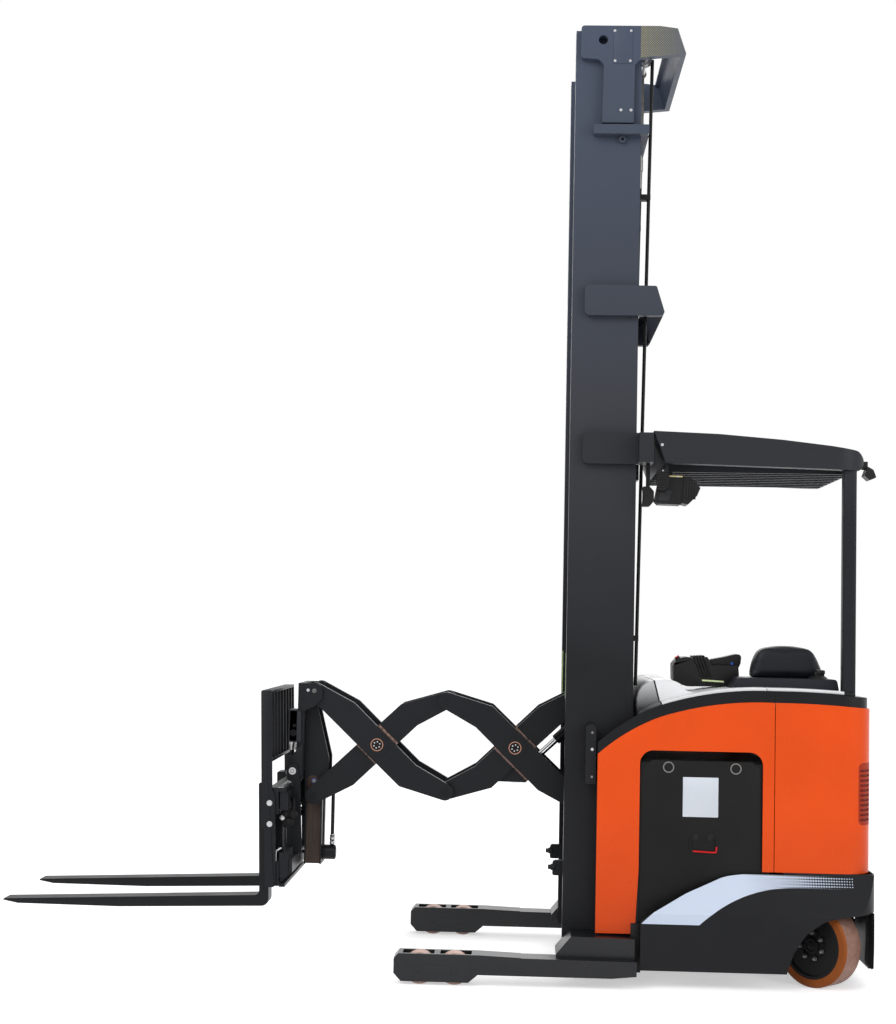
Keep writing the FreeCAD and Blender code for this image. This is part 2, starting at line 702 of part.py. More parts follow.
def scissor_arms():
    """Four arm pairs: rear and front, inner pair hung from the carriage first."""
    inner = (inner_arm_y, inner_arm_y + arm_thick)
    outer = (outer_arm_y, outer_arm_y + arm_thick)
    rows = (  # node, centre pin x, mirrored, reversed, plate faces in y
        ("arm_rear_inner", rear_pivot_x, True, False, inner),
        ("arm_rear_outer", rear_pivot_x, False, False, outer),
        ("arm_front_outer", front_pivot_x, False, True, outer),
        ("arm_front_inner", front_pivot_x, True, True, inner),
    )
    arms = {}
    for name, x, mirrored, reversed_ends, (y0, y1) in rows:
        plate = arm_plate(mirrored, reversed_ends, y0, y1)
        plate.translate(V(x, 0, pivot_z))
        arms[name] = [plate]
    full = outer_arm_y + arm_thick
    hub = hub_high
    arms["arm_rear_inner"].append(rod_y(rear_pivot_x, pivot_z, pivot_pin_r, 0, full))
    arms["arm_rear_inner"].append(rod_y(knee_x, knee_low, pivot_pin_r, 0, full))
    collar_r = pivot_pin_r + 2
    for x, z in ((rear_pivot_x, pivot_z), (knee_x, knee_low)):
        arms["arm_rear_inner"].append(rod_y(x, z, collar_r, 0, inner_arm_y + arm_thick))
    web = plate_xz([(-80, 775), (-60, 815), (20, 885), (56, 785), (44, 773)], inner_arm_y, inner_arm_y + 12)
    arms["arm_rear_inner"].append(web)
    arms["arm_rear_inner"].append(rod_y(eye_x, eye_z, eye_pin_r, 0, inner_arm_y + 4))
    arms["arm_front_inner"].append(rod_y(front_pivot_x, pivot_z, pivot_pin_r, inner_arm_y, full))
    arms["arm_front_inner"].append(rod_y(front_pivot_x, pivot_z, collar_r, inner_arm_y, inner_arm_y + arm_thick))
    arms["arm_front_inner"].append(rod_y(knee_x, knee_high, pivot_pin_r, 0, full))
    arms["arm_front_inner"].append(rod_y(knee_x, knee_high, collar_r, 0, inner_arm_y + arm_thick))
    for name, x in (("arm_rear_outer", rear_pivot_x), ("arm_front_outer", front_pivot_x)):
        ring = rod_y(x, pivot_z, hub_r, full, full + hub).cut(rod_y(x, pivot_z, 31, full - 1, full + hub + 1))
        arms[name].append(ring)
    roller_y = outer_arm_y + arm_thick
    arms["arm_rear_outer"].append(rod_y(hinge_x, low_z, pivot_pin_r + 2, outer_arm_y, roller_y + 3))
    arms["arm_rear_outer"].append(rod_y(hinge_x, low_z, roller_r, roller_y + 3, roller_y + 30))
    arms["arm_front_inner"].append(rod_y(head_x, low_z, pivot_pin_r + 2, inner_arm_y - 6, inner_arm_y + 30))
    arms["arm_front_inner"].append(rod_y(head_x, low_z, roller_r, inner_arm_y - 29, inner_arm_y - 6))
    for name, pieces in arms.items():
        nodes[name] = both(join(pieces))


def carriage():
    """Lift carriage inside the inner rails: side plates on rollers, back frame, hinge lugs, channels."""
    inner = rails["mast_inner"]
    lip = inner["half"] - inner["reach"]
    side_y = lip - gap
    plate = block(inner["x0"] + 6, crossbar_rear_x, side_y - 16, side_y, 372, 1225)
    roller_x = (inner["x0"] + inner["x1"]) / 2
    clear_r = (inner["x1"] - inner["x0"]) / 2 - inner["flange"] - seat
    rollers = [rod_y(roller_x, z, clear_r, lip, inner["half"] - inner["web"] - 2).fuse(
        rod_y(roller_x, z, 30, side_y - 1, lip + 1)) for z in (460, 1130)]
    back = [block(crossbar_rear_x - 16, crossbar_rear_x, 0, side_y, z0, z1) for z0, z1 in ((372, 470), (1195, 1225))]
    back.append(block(crossbar_rear_x - 16, crossbar_rear_x, 150, side_y, 372, 1225))
    lugs = [block(240, crossbar_rear_x, y0, y1, 1118, 1200)
            for y0, y1 in ((inner_arm_y - gap - 18, inner_arm_y - gap),
                           (inner_arm_y + arm_thick + gap, inner_arm_y + arm_thick + gap + 18))]
    lugs.append(rod_y(hinge_x, top_z, pivot_pin_r, inner_arm_y - gap - 18, inner_arm_y + arm_thick + gap + 18))
    shelf = block(crossbar_rear_x - 60, crossbar_rear_x, 0, side_y, 1195, 1225)
    lug_root = block(crossbar_rear_x - 70, crossbar_rear_x - 10, inner_arm_y - 22, 160, 1170, 1200)
    flange_y = outer_arm_y + arm_thick + gap
    web_y = flange_y + 28
    channel_top = 740.0
    half = roller_r + 1
    channel = [block(hinge_x - half - 8, hinge_x + half + 8, web_y, web_y + 12, 398, channel_top),
               block(hinge_x - half - 8, hinge_x - half, flange_y, web_y + 1, 398, channel_top),
               block(hinge_x + half, hinge_x + half + 8, flange_y, web_y + 1, 398, channel_top)]
    tie = [block(hinge_x + half, crossbar_rear_x - 10, web_y, web_y + 12, z, z + 60)
           for z in (398, channel_top - 60)]
    eye_lug = [block(barrel_x - 20, crossbar_rear_x, y0, y1, barrel_z - 22, 1200)
               for y0, y1 in ((0, cylinder_y - barrel_r - 1), (cylinder_y + barrel_r + 2, inner_arm_y - 12))]
    eye_lug.append(rod_y(barrel_x, barrel_z, eye_pin_r, 0, cylinder_y + 30))
    horn = plate_xz([(208, 1145, 8), (208, 1348, 10), (262, 1348, 10), (262, 1145)], side_y - 16, side_y)
    joiner = block(inner["x0"] + 6, 262, side_y - 16, side_y, 1140, 1226)
    clamp = plate_xz([(162, 402, 8), (162, 466, 14), (262, 466), (262, 402)], side_y - 24, side_y)
    return both(join([plate, shelf, lug_root, horn, joiner, clamp] + rollers + back + lugs + channel + tie
                     + eye_lug))


def reach_cylinders():
    """Two cylinders side by side: barrel on its pin, polished rod with an eye at the arm."""
    a = V(barrel_x, cylinder_y, barrel_z)
    b = V(eye_x, cylinder_y, eye_z)
    along = (b - a).normalize()
    span = (b - a).Length
    stroke_room = 120.0
    barrel_length = span - stroke_room - 120.0
    eye = rod_y(barrel_x, barrel_z, 22, cylinder_y - 14, cylinder_y + 14)
    tube = rod_between(a + along * 16, a + along * barrel_length, barrel_r)
    bore = rod_between(a + along * 60, a + along * (barrel_length + 1), cylinder_rod_r + 0.1)
    barrel = join([eye, tube]).cut(bore).cut(rod_y(barrel_x, barrel_z, eye_pin_r + pin_gap, -80, 80))
    rod = rod_between(a + along * (barrel_length - 100), b - along * 20, cylinder_rod_r)
    ring = rod_y(eye_x, eye_z, 31, cylinder_y - 13, cylinder_y + 13)
    rod = join([rod, ring]).cut(rod_y(eye_x, eye_z, eye_pin_r + 10, -80, 80))
    nodes["reach_barrels"] = both(barrel)
    nodes["reach_rods"] = both(rod)


def fork_frame():
    """Upright frame at the scissor's front: channels, tapered plates, head with ears, tilt bracket."""
    frame_y = inner_arm_y - gap
    x0 = head_x - roller_r - 7.5
    x1 = head_x + roller_r + 7.5
    channel = [block(x0, x1, 38, 50, 395, 763), block(x0, x0 + 6, 38, frame_y, 395, 763),
               block(x1 - 6, x1, 38, frame_y, 395, 763)]
    taper = plate_xz([(-925, 740), (-925, 1120), (-886, 1120), (-822, 862, 20), (-822, 800, 20), (-848, 745)],
                     frame_y - 17, frame_y)
    spine = block(-954, -925, 0, 146, 800, 1186)
    ear = plate_xz([(-954, 1066), (-954, 1186), (-868, 1186, 22), (-848, 1168, 22), (-848, 1120, 18),
                    (-885, 1085, 20), (-925, 1066)], outer_arm_y + arm_thick + 4, outer_arm_y + arm_thick + 16)
    pin = rod_y(head_x, top_z, pivot_pin_r, outer_arm_y - 5, outer_arm_y + arm_thick + 6)
    inner_ear = plate_xz([(-954, 1100), (-954, 1186), (-858, 1186, 20), (-858, 1110, 20)],
                         outer_arm_y - 18, outer_arm_y - 4)
    brace = block(-925, x0 + 1, 38, frame_y, 700, 763)
    tie = block(x0, x1, 0, 45, 700, 740)
    low_tie = block(x0, x1, 0, 45, 394, tilt_rod_z - tilt_barrel_r - 1)
    pivot_lug = block(-992, -925, 130, 150, 770, 842)
    pivot = rod_y(tilt_x, tilt_z, 16, 125, 178)
    return both(join(channel + [taper, spine, ear, pin, inner_ear, brace, tie, low_tie, pivot_lug, pivot]))


def tilt_carriage():
    """Tilting carriage hung from the frame's pins, with upper and lower slide bars."""
    arm = plate_xz([(-969, 440), (-969, 757), (-992, 768, 10), (-992, 838, 23), (-945, 838, 23),
                    (-938, 760, 20), (-932, 470, 10), (-950, 440)], 152, 176)
    arm = arm.cut(rod_y(tilt_x, tilt_z, 16 + pin_gap, 100, 200))
    upper = block(-1000, -968, 0, 360, slide_bar_top - 80, slide_bar_top)
    lower = plate_xz([(-1000, 353), (-1000, 452), (tilt_back_x, 452), (tilt_back_x, 395)], 0, 360)
    upper = upper.cut(block(-990, -900, 125, 151, 600, 800))
    shift_cylinder = rod_y(-983, 590, 17, 0, 290)
    return both(join([arm, upper, lower, shift_cylinder]))


def side_shift_frame():
    """Frame that slides across on the tilting carriage and carries the forks and backrest."""
    upper = block(-1046, -1004, -372, 372, 640, 745)
    lower = block(-1046, -1004, -372, 372, 340, 440)
    hook = block(-1004.5, -972, -372, 372, slide_bar_top + seat, 752)
    posts = [block(-1040, -1006, y - 30, y + 30, 430, 650) for y in (-200, 200)]
    lip = block(-1046, -1004, -372, 372, 740, 752)
    low_hook = block(-1004.5, -980, -372, 372, 336, 349)
    return join([upper, lower, hook, lip, low_hook] + posts)


def forks():
    """Two forks hooked on the slide frame, blades tapering to the tips."""
    blade = plate_xz([(fork_x + fork_thick, fork_under, 30), (fork_x + fork_thick, fork_top, 8),
                      (fork_x, fork_top, 8), (fork_x, fork_under + fork_thick + 6, 20),
                      (fork_x - fork_length, fork_under + fork_thick - 4),
                      (fork_x - fork_length - 3, fork_under + fork_thick - 10),
                      (fork_x - fork_length + 60, fork_under + fork_thick - fork_tip_thick - 12),
                      (fork_x - fork_length * 0.55, fork_under)],
                     fork_out - fork_width, fork_out)
    hook = block(fork_x + fork_thick - 1, fork_x + fork_thick + 5.5, fork_out - fork_width, fork_out, 660, 735)
    return both(join([blade, hook]))


def backrest():
    """Load backrest: side plates down to the frame, grille of upright bars."""
    side = plate_xz([(-1089, backrest_top, 10), (-1044, backrest_top, 10), (-1044, 340), (-1066, 336),
                     (-1089, 500)], backrest_half + 1, backrest_half + 9)
    top = block(-1089, -1049, -backrest_half - 1, backrest_half + 1, backrest_top - 42, backrest_top - 4)
    low = block(-1089, -1049, -backrest_half - 1, backrest_half + 1, 860, 900)
    bars = [block(-1080, -1058, y - 11, y + 11, 890, backrest_top - 30) for y in (-240, -80, 80, 240)]
    foot = block(-1046.5, -1010, backrest_half - 2.7, backrest_half + 2, 645, 740)
    return join([both(join([side, foot])), top, low] + bars)


def tilt_cylinder():
    """Tilt cylinder between the channels and its rod, whose nose meets the tilting carriage."""
    bore = Part.makeCylinder(tilt_rod_r + pin_gap / 3, 72, V(tilt_barrel_x - 1, 0, tilt_rod_z), V(1, 0, 0))
    barrel = Part.makeCylinder(tilt_barrel_r, 118, V(tilt_barrel_x, 0, tilt_rod_z), V(1, 0, 0)).cut(bore)
    mount = block(tilt_barrel_x + 10, tilt_barrel_x + 70, tilt_barrel_r - 1, 37.7, tilt_rod_z - 20, tilt_rod_z + 20)
    droop = math.radians(fork_droop)
    down = tilt_z - tilt_rod_z
    nose_x = tilt_x + (tilt_back_x - tilt_x) * math.cos(droop) + down * math.sin(droop)
    nose_r = 5.0
    nose_x += nose_r * math.sin(droop) + nose_gap
    nose = Part.makeCone(nose_r, tilt_rod_r, 14, V(nose_x, 0, tilt_rod_z), V(1, 0, 0))
    rod = Part.makeCylinder(tilt_rod_r, tilt_barrel_x + 42 - nose_x, V(nose_x + 14, 0, tilt_rod_z), V(1, 0, 0))
    rod = nose.fuse(rod)
    return join([barrel, mount, flip(mount)]), rod


def drive_unit():
    """Turntable, gear leg and wheel, drawn straight ahead and then turned to the stored angle."""
    centre = V(steer_x, steer_y, 0)
    wheel_y = steer_y - drive_offset
    face = wheel_y - drive_wheel_width / 2
    inner = wheel_y + drive_wheel_width / 2
    table = rod_z(steer_x, steer_y, turntable_r, 400, 470)
    leg = block(steer_x - 60, steer_x + 60, inner + gap, inner + gap + 40, drive_wheel_r - 50, 405)
    arch = block(steer_x - 60, steer_x + 60, wheel_y - 40, inner + gap + 10, 2 * drive_wheel_r + gap, 405)
    axle = rod_y(steer_x, drive_wheel_r, 28, face + 20, inner + gap + 20)
    motor = rod_z(steer_x, steer_y, turntable_r, 470 + seat, 760)
    tyre = rod_y(steer_x, drive_wheel_r, drive_wheel_r, face, inner)
    tyre = tyre.makeChamfer(tyre_chamfer, [e for e in tyre.Edges if isinstance(e.Curve, Part.Circle)])
    tyre = tyre.cut(rod_y(steer_x, drive_wheel_r, drive_hub_r, face - 1, inner + 1))
    dish = rod_y(steer_x, drive_wheel_r, drive_hub_r - 12, face - 1, face + 12)
    hub = rod_y(steer_x, drive_wheel_r, drive_hub_r, face + 2, inner - 2).cut(dish)
    hub = hub.cut(rod_y(steer_x, drive_wheel_r, 28 + pin_gap / 3, face, inner))
    nuts = []
    for i in range(7):
        turn = math.radians(i * 360 / 7 + 12)
        nuts.append(rod_y(steer_x + 54 * math.cos(turn), drive_wheel_r + 54 * math.sin(turn), 8,
                          face + 6, face + 14))
    hub = join([hub] + nuts)
    made = {"drive_leg": join([table, leg, arch, axle]), "traction_motor": motor,
            "drive_tyre": tyre, "drive_hub": hub}
    for name, shape in made.items():
        nodes[name] = turned(shape, centre, V(0, 0, 1), -steer_angle)


def caster():
    """Twin-wheel caster: swivel plate and fork, wheels on one axle, trailing to the rear."""
    axle_x = caster_x - caster_trail
    swivel = rod_z(caster_x, caster_y, 55, 190, floor_z - floor_thick - seat)
    stalk = block(axle_x - 22, caster_x + 25, caster_y - 9, caster_y + 9, 60, 195)
    axle = rod_y(axle_x, caster_wheel_r, 11, caster_y - 60, caster_y + 60)
    nodes["caster_fork"] = join([swivel, stalk, axle])
    wheels = []
    for way in (-1, 1):
        y = caster_y + way * caster_spread
        wheel = rod_y(axle_x, caster_wheel_r, caster_wheel_r, y - caster_wheel_width / 2 + 2,
                      y + caster_wheel_width / 2 - 2)
        wheels.append(wheel.cut(rod_y(axle_x, caster_wheel_r, 11.1, y - 60, y + 60)))
    nodes["caster_wheels"] = wheels[0].fuse(wheels[1])


def battery():
    inner = body_half - 11
    case = plate_yz([(-inner, floor_z + seat), (-inner, 905, 0), (-inner + 12, 917), (inner - 12, 917),
                     (inner, 905), (inner, floor_z + seat)], leg_end_x + bulkhead_thick + 3, bulkhead_x - 3)
    return case


def work_lamps():
    """Lamp box with its ribbed head, oval lamp and round lamp under the guard, and the rear lamp."""
    slat_low = 2118.0
    y0 = lamp_y - lamp_half
    y1 = lamp_y + lamp_half
    box = plate_xz([(564, 1992, 10), (578, 1978, 6), (670, 1976), (694, 2000), (694, 2092), (584, 2096, 8)], y0, y1)
    head = plate_xz([(676, 1982, 4), (700, 1976, 4), (738, 2014, 8), (752, 2047, 6), (712, 2090, 6),
                     (684, 2096, 4)], y0 - 8, y1 + 8)
    hanger = block(604, 640, y1 - 42, y1 - 22, 2090, slat_low - seat)
    oval = plate_xz([(566, 2118, 10), (596, 2124, 10), (618, 2092, 14), (616, 2050, 14), (598, 2030, 6),
                     (576, 2030, 6), (566, 2070, 10)], -508, -458)
    oval_hanger = block(602, 614, -492, -474, 2080, 2144 - seat)
    small = plate_xz([(512, 1966, 3), (512, 2050, 3), (540, 2050, 10), (558, 2030, 8), (558, 1988, 8),
                      (540, 1966, 8)], -455, -405)
    small_hanger = block(526, 542, -428, -412, 2045, 2145 - seat)
    rear_x = nodes["overhead_guard"].BoundBox.XMax + seat
    rear = plate_xz([(rear_x + 4, 2112, 4), (rear_x + 18, 2150, 4), (rear_x + 42, 2136, 6), (rear_x + 54, 2104, 6),
                     (rear_x + 26, 2092, 4)], -452, -382)
    rear_foot = block(rear_x, rear_x + 22, -430, -404, 2138, 2172)
    return Part.makeCompound([join([box, head, hanger]), join([oval, oval_hanger]), join([small, small_hanger]),
                              join([rear, rear_foot])])


def steer_tiller():
    """Steering knob on its low pod beside the back pad."""
    base = pad_seat_z + seat
    pod = Part.makeCone(44, 30, 12, V(1258, -385, base), V(0, 0, 1))
    stem = rod_z(1266, -385, 8, base + 10, base + 20)
    knob = Part.makeCylinder(22, 20, V(1266, -385, base + 18), V(0, 0, 1))
    knob = knob.makeFillet(7, [e for e in knob.Edges if isinstance(e.Curve, Part.Circle)])
    return join([pod, stem, knob])


def deck_mat():
    """Rubber mat on the floor plate, cut out round the pedal that stands on the plate."""
    front = bulkhead_x + bulkhead_thick + 8
    pedal_x1 = 1230.0
    pedal_y = (120.0, 260.0)
    mat = block(front, body_rear_x - 30, tower_y + bulkhead_thick + 8, body_half - 20, floor_z + seat, mat_top)
    mat = mat.common(plan_outline(body_half - 20, body_rear_x - 30, skirt_round - 20, 600, 0, 400))
    mat = mat.cut(block(front - 1, pedal_x1 + gap, pedal_y[0] - gap, pedal_y[1] + gap, floor_z, mat_top + 1))
    pedal = plate_xz([(1120, floor_z + seat), (1120, floor_z + 18, 4), (1130, floor_z + 30, 6),
                      (pedal_x1, floor_z + 30, 6), (pedal_x1, floor_z + seat)], *pedal_y)
    return [mat, pedal]


def knee_pad():
    """Pad on the bulkhead in front of the operator."""
    face = bulkhead_x + bulkhead_thick + seat
    return plate_xy([(face, tower_y + 60, 4), (face + 46, tower_y + 70, 20), (face + 46, body_half - 70, 20),
                     (face, body_half - 60, 4)], 480, 1060)


def fork_hoses():
    """Two hoses from the tilt cylinder up to the tie between the channels."""
    tubes = []
    hose_r = 6.5
    x = tilt_barrel_x + 106
    back = head_x + roller_r + 7.5 + seat
    foot = tilt_rod_z + tilt_barrel_r - 4
    for y in (-14, 14):
        bend = V(x, y, 712)
        tubes += [rod_between(V(x, y, foot + 40), bend, hose_r), rod_between(bend, V(back, y, bend.z), hose_r),
                  Part.makeSphere(hose_r, bend), rod_z(x, y, 9, foot + 5, foot + 48)]
    return join(tubes)


def build_all():
    load_wheels()
    painted_panels()
    trim_and_hood()
    nodes["skirt"] = skirt()
    nodes["chassis_frame"] = chassis()
    nodes["tower_cover"] = counter_top()
    nodes["pad_base"] = pad_base()
    nodes["back_pad"] = back_pad()
    nodes["console"] = console()
    nodes["hand_controls"] = Part.makeCompound([control_handle(), steer_tiller()])
    nodes["battery"] = battery()
    nodes["overhead_guard"] = guard()
    nodes["guard_supports"] = Part.makeCompound([guard_brackets(), guard_post()])
    nodes["work_lamps"] = work_lamps()
    nodes["deck_mats"] = Part.makeCompound(deck_mat() + [knee_pad()])
    outer_mast()
    sheaves_and_chains()
    middle = rails["mast_middle"]
    inner = rails["mast_inner"]
    nodes["mast_middle"] = nested_mast("mast_middle", "mast_outer", "mast_inner",
                                       middle["x1"] - middle["flange"], middle["x1"],
                                       middle["half"] - middle["reach"] - seat, middle_bar_z)
    nodes["mast_inner"] = nested_mast("mast_inner", "mast_middle", None, inner["x0"] + inner["flange"] + seat,
                                      crossbar_rear_x, inner["half"] - inner["web"] - seat, inner_bar_z)
    barrels, rods = lift_cylinders()
    nodes["lift_barrels"] = both(barrels)
    nodes["lift_rods"] = both(rods)
    nodes["mast_pipes"] = mast_pipes()
    scissor_arms()
    nodes["carriage"] = carriage()
    reach_cylinders()
    nodes["fork_frame"] = fork_frame()
    nodes["tilt_barrel"], nodes["tilt_rod"] = tilt_cylinder()
    nodes["fork_hoses"] = fork_hoses()
    tilting = {"tilt_carriage": tilt_carriage(), "side_shift_frame": side_shift_frame(),
               "forks": forks(), "load_backrest": backrest()}
    for name, shape in tilting.items():
        nodes[name] = turned(shape, V(tilt_x, 0, tilt_z), V(0, 1, 0), -fork_droop)
    drive_unit()
    caster()


build_all()
origin_x = (min(s.BoundBox.XMin for s in nodes.values()) + max(s.BoundBox.XMax for s in nodes.values())) / 2
os.makedirs("parts", exist_ok=True)
for name, shape in nodes.items():
    shape.translate(V(-origin_x, 0, 0))
    shape.exportStep(f"parts/{name}.step")
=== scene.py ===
"""Looks of the reach truck: paint, rubber and metal finishes, small fittings, studio floor and camera."""
import bpy
import bmesh
import math
from mathutils import Matrix, Vector


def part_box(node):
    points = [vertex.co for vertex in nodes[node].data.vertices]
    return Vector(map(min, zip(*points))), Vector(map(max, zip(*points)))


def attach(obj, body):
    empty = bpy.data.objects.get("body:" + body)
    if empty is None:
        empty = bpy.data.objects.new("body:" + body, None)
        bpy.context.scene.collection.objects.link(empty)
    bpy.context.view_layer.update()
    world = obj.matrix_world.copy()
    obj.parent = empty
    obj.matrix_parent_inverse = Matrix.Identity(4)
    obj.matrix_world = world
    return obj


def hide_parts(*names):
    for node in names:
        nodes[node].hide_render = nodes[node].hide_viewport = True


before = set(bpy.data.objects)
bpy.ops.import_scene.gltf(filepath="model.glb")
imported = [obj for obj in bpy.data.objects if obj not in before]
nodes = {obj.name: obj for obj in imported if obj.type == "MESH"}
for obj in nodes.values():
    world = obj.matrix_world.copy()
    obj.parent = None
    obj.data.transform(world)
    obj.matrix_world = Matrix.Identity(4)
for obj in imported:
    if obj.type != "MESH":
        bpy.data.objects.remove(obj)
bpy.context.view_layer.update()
MM = 0.001
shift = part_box("mast_outer")[0][0] / MM - 204.0


def at(x, y, z):
    """Metres in the frame from a place in the truck's own millimetres."""
    return Vector(((x + shift) * MM, y * MM, z * MM))


def put(x, y, z):
    """The matrix that moves a model to that place."""
    return Matrix.Translation(at(x, y, z))


# sizes and places that more than one finish or piece uses, in the truck's millimetres
PIVOT_Z, REAR_PIVOT, FRONT_PIVOT, KNEE, HEAD = 925.0, -5.4, -606.5, -305.9, -883.8
WHEEL_X, WHEEL_Y, WHEEL_R = 1265.0, -438.5, 171.5
STEER = math.radians(43.5)
WAVE = 2.0 * math.pi


class Sock:
    """A node socket that takes part in plain arithmetic."""

    def __init__(self, tree, socket):
        self.tree = tree
        self.socket = socket

    def maths(self, operation, *others, clamp=False):
        node = self.tree.nodes.new("ShaderNodeMath")
        node.operation = operation
        node.use_clamp = clamp
        for slot, value in zip(node.inputs, (self,) + others):
            if isinstance(value, Sock):
                self.tree.links.new(value.socket, slot)
            else:
                slot.default_value = value
        return Sock(self.tree, node.outputs[0])

    def __add__(self, other):
        return self.maths("ADD", other)

    def __radd__(self, other):
        return self.maths("ADD", other)

    def __sub__(self, other):
        return self.maths("SUBTRACT", other)

    def __rsub__(self, other):
        return (self * -1.0).maths("ADD", other)

    def __mul__(self, other):
        return self.maths("MULTIPLY", other)

    def __rmul__(self, other):
        return self.maths("MULTIPLY", other)

    def __truediv__(self, other):
        return self.maths("DIVIDE", other)

    def __abs__(self):
        return self.maths("ABSOLUTE", 0.0)

    def __gt__(self, other):
        return self.maths("GREATER_THAN", other)

    def __lt__(self, other):
        return self.maths("LESS_THAN", other)

    def clamped(self, low, high):
        """0 at low, 1 at high, straight between."""
        return ((self - low) * (1.0 / (high - low))).maths("ADD", 0.0, clamp=True)


class Tree:
    """A node tree and the one method that adds a node other than a sum to it."""

    def __init__(self, tree):
        self.tree = tree

    def add(self, kind, settings=None, output=0, numbered=None, **inputs):
        """A node of this kind: its settings are made first, then its sockets' values or links."""
        node = self.tree.nodes.new(kind)
        for key, value in (settings or {}).items():
            setattr(node, key, value)
        named = {key.replace("_", " "): value for key, value in inputs.items()}
        for key, value in {**(numbered or {}), **named}.items():
            slot = node.inputs[key]
            if isinstance(value, Sock):
                self.tree.links.new(value.socket, slot)
            else:
                slot.default_value = value
        return Sock(self.tree, node.outputs[output])

    def seen(self):
        """1 on a ray from the camera or off a glossy surface, 0 on any other."""
        rays = [self.add("ShaderNodeLightPath", output=name) for name in ("Is Camera Ray", "Is Glossy Ray")]
        return rays[0].maths("MAXIMUM", rays[1])


class Finish(Tree):
    """One material with its Principled shader."""

    def __init__(self, name, colour, roughness, metallic=0.0, coat=0.0, coat_rough=0.1, specular=0.5):
        self.material = bpy.data.materials.new(name)
        self.material.use_nodes = True
        super().__init__(self.material.node_tree)
        self.shader = self.tree.nodes["Principled BSDF"]
        self.set("Base Color", (*colour, 1.0))
        self.set("Roughness", roughness)
        self.set("Metallic", metallic)
        self.set("Coat Weight", coat)
        self.set("Coat Roughness", coat_rough)
        self.set("Specular IOR Level", specular)
        self.material.diffuse_color = (*colour, 1.0)

    def set(self, socket, value):
        if isinstance(value, Sock):
            self.tree.links.new(value.socket, self.shader.inputs[socket])
        else:
            self.shader.inputs[socket].default_value = value

    def place(self, scale=(1.0, 1.0, 1.0)):
        """Object coordinates, scaled."""
        here = self.add("ShaderNodeTexCoord", output="Object")
        return self.add("ShaderNodeMapping", Vector=here, Scale=scale)

    def axes(self):
        here = self.add("ShaderNodeTexCoord", output="Object")
        return [self.add("ShaderNodeSeparateXYZ", output=i, Vector=here) for i in range(3)]

    def noise(self, scale, detail=3.0, rough=0.5, stretch=(1.0, 1.0, 1.0)):
        return self.add("ShaderNodeTexNoise", Vector=self.place(stretch), Scale=scale, Detail=detail,
                        Roughness=rough)

    def mix(self, factor, a, b):
        a, b = (tone if isinstance(tone, Sock) else (*tone, 1.0) for tone in (a, b))
        return self.add("ShaderNodeMix", {"data_type": "RGBA"}, 2, {0: factor, 6: a, 7: b})

    def bump(self, height, strength, distance=0.001):
        self.set("Normal", self.add("ShaderNodeBump", Height=height, Strength=strength, Distance=distance))


def shade(colour, k):
    return tuple(min(1.0, c * k) for c in colour)


def painted(name, colour, roughness, coat=0.0, dust=0.12, orange_peel=0.05, worn=None, decorate=None,
            specular=0.16):
    """Paint with a faint mottle, a fine peel and, if worn is given, rubbed spots of that colour."""
    f = Finish(name, colour, roughness, coat=coat, specular=specular)
    mottle = f.noise(3.0, 4.0).clamped(0.35, 0.65)
    tone = f.mix(mottle, shade(colour, 1.0 - dust), shade(colour, 1.0 + dust))
    if worn:
        spots = f.noise(26.0, 6.0, 0.65).clamped(0.66, 0.74)
        tone = f.mix(spots * 0.5, tone, worn)
    if decorate:
        tone = decorate(f, tone)
    f.set("Base Color", tone)
    f.set("Roughness", f.noise(8.0, 3.0).clamped(0.2, 0.8) * 0.12 + (roughness - 0.06))
    f.bump(f.noise(420.0, 2.0), orange_peel, 0.0006)
    return f.material


def plain_metal(name, colour, roughness, brushed=True):
    """Bare or plated metal with a fine grain, drawn out upwards where it is brushed."""
    f = Finish(name, colour, roughness, metallic=1.0)
    grain = f.noise(60.0, 4.0, 0.6, (1.0, 1.0, 12.0) if brushed else (1.0, 1.0, 1.0))
    f.set("Roughness", grain.clamped(0.2, 0.8) * 0.16 + (roughness - 0.08))
    f.set("Base Color", f.mix(grain, shade(colour, 0.88), shade(colour, 1.1)))
    f.bump(grain, 0.05, 0.0004)
    return f.material


def moulded(name, colour, roughness, grain=900.0, strength=0.12, decorate=None, specular=0.22):
    """Moulded plastic or rubber with a fine leather-like grain."""
    f = Finish(name, colour, roughness, specular=specular)
    cells = f.add("ShaderNodeTexVoronoi", Vector=f.place(), Scale=grain)
    tone = f.mix(f.noise(5.0, 3.0), shade(colour, 0.85), shade(colour, 1.18))
    if decorate:
        tone = decorate(f, tone)
    f.set("Base Color", tone)
    f.set("Roughness", f.noise(12.0, 3.0).clamped(0.2, 0.8) * 0.14 + (roughness - 0.07))
    f.bump(cells, strength, 0.0005)
    return f.material


def truck_axes(f):
    """Object coordinates in the truck's own metres, its x = 0 a little ahead of the mast."""
    x, y, z = f.axes()
    return x - shift * MM, y, z


def between(value, low, high):
    return (value > low) * (value < high)


def distance(dx, dz):
    """How far apart two places are, from their differences in x and z."""
    return (dx * dx + dz * dz).maths("SQRT")


def edge_line(value, place, width):
    return between(value, place - width / 2, place + width / 2)


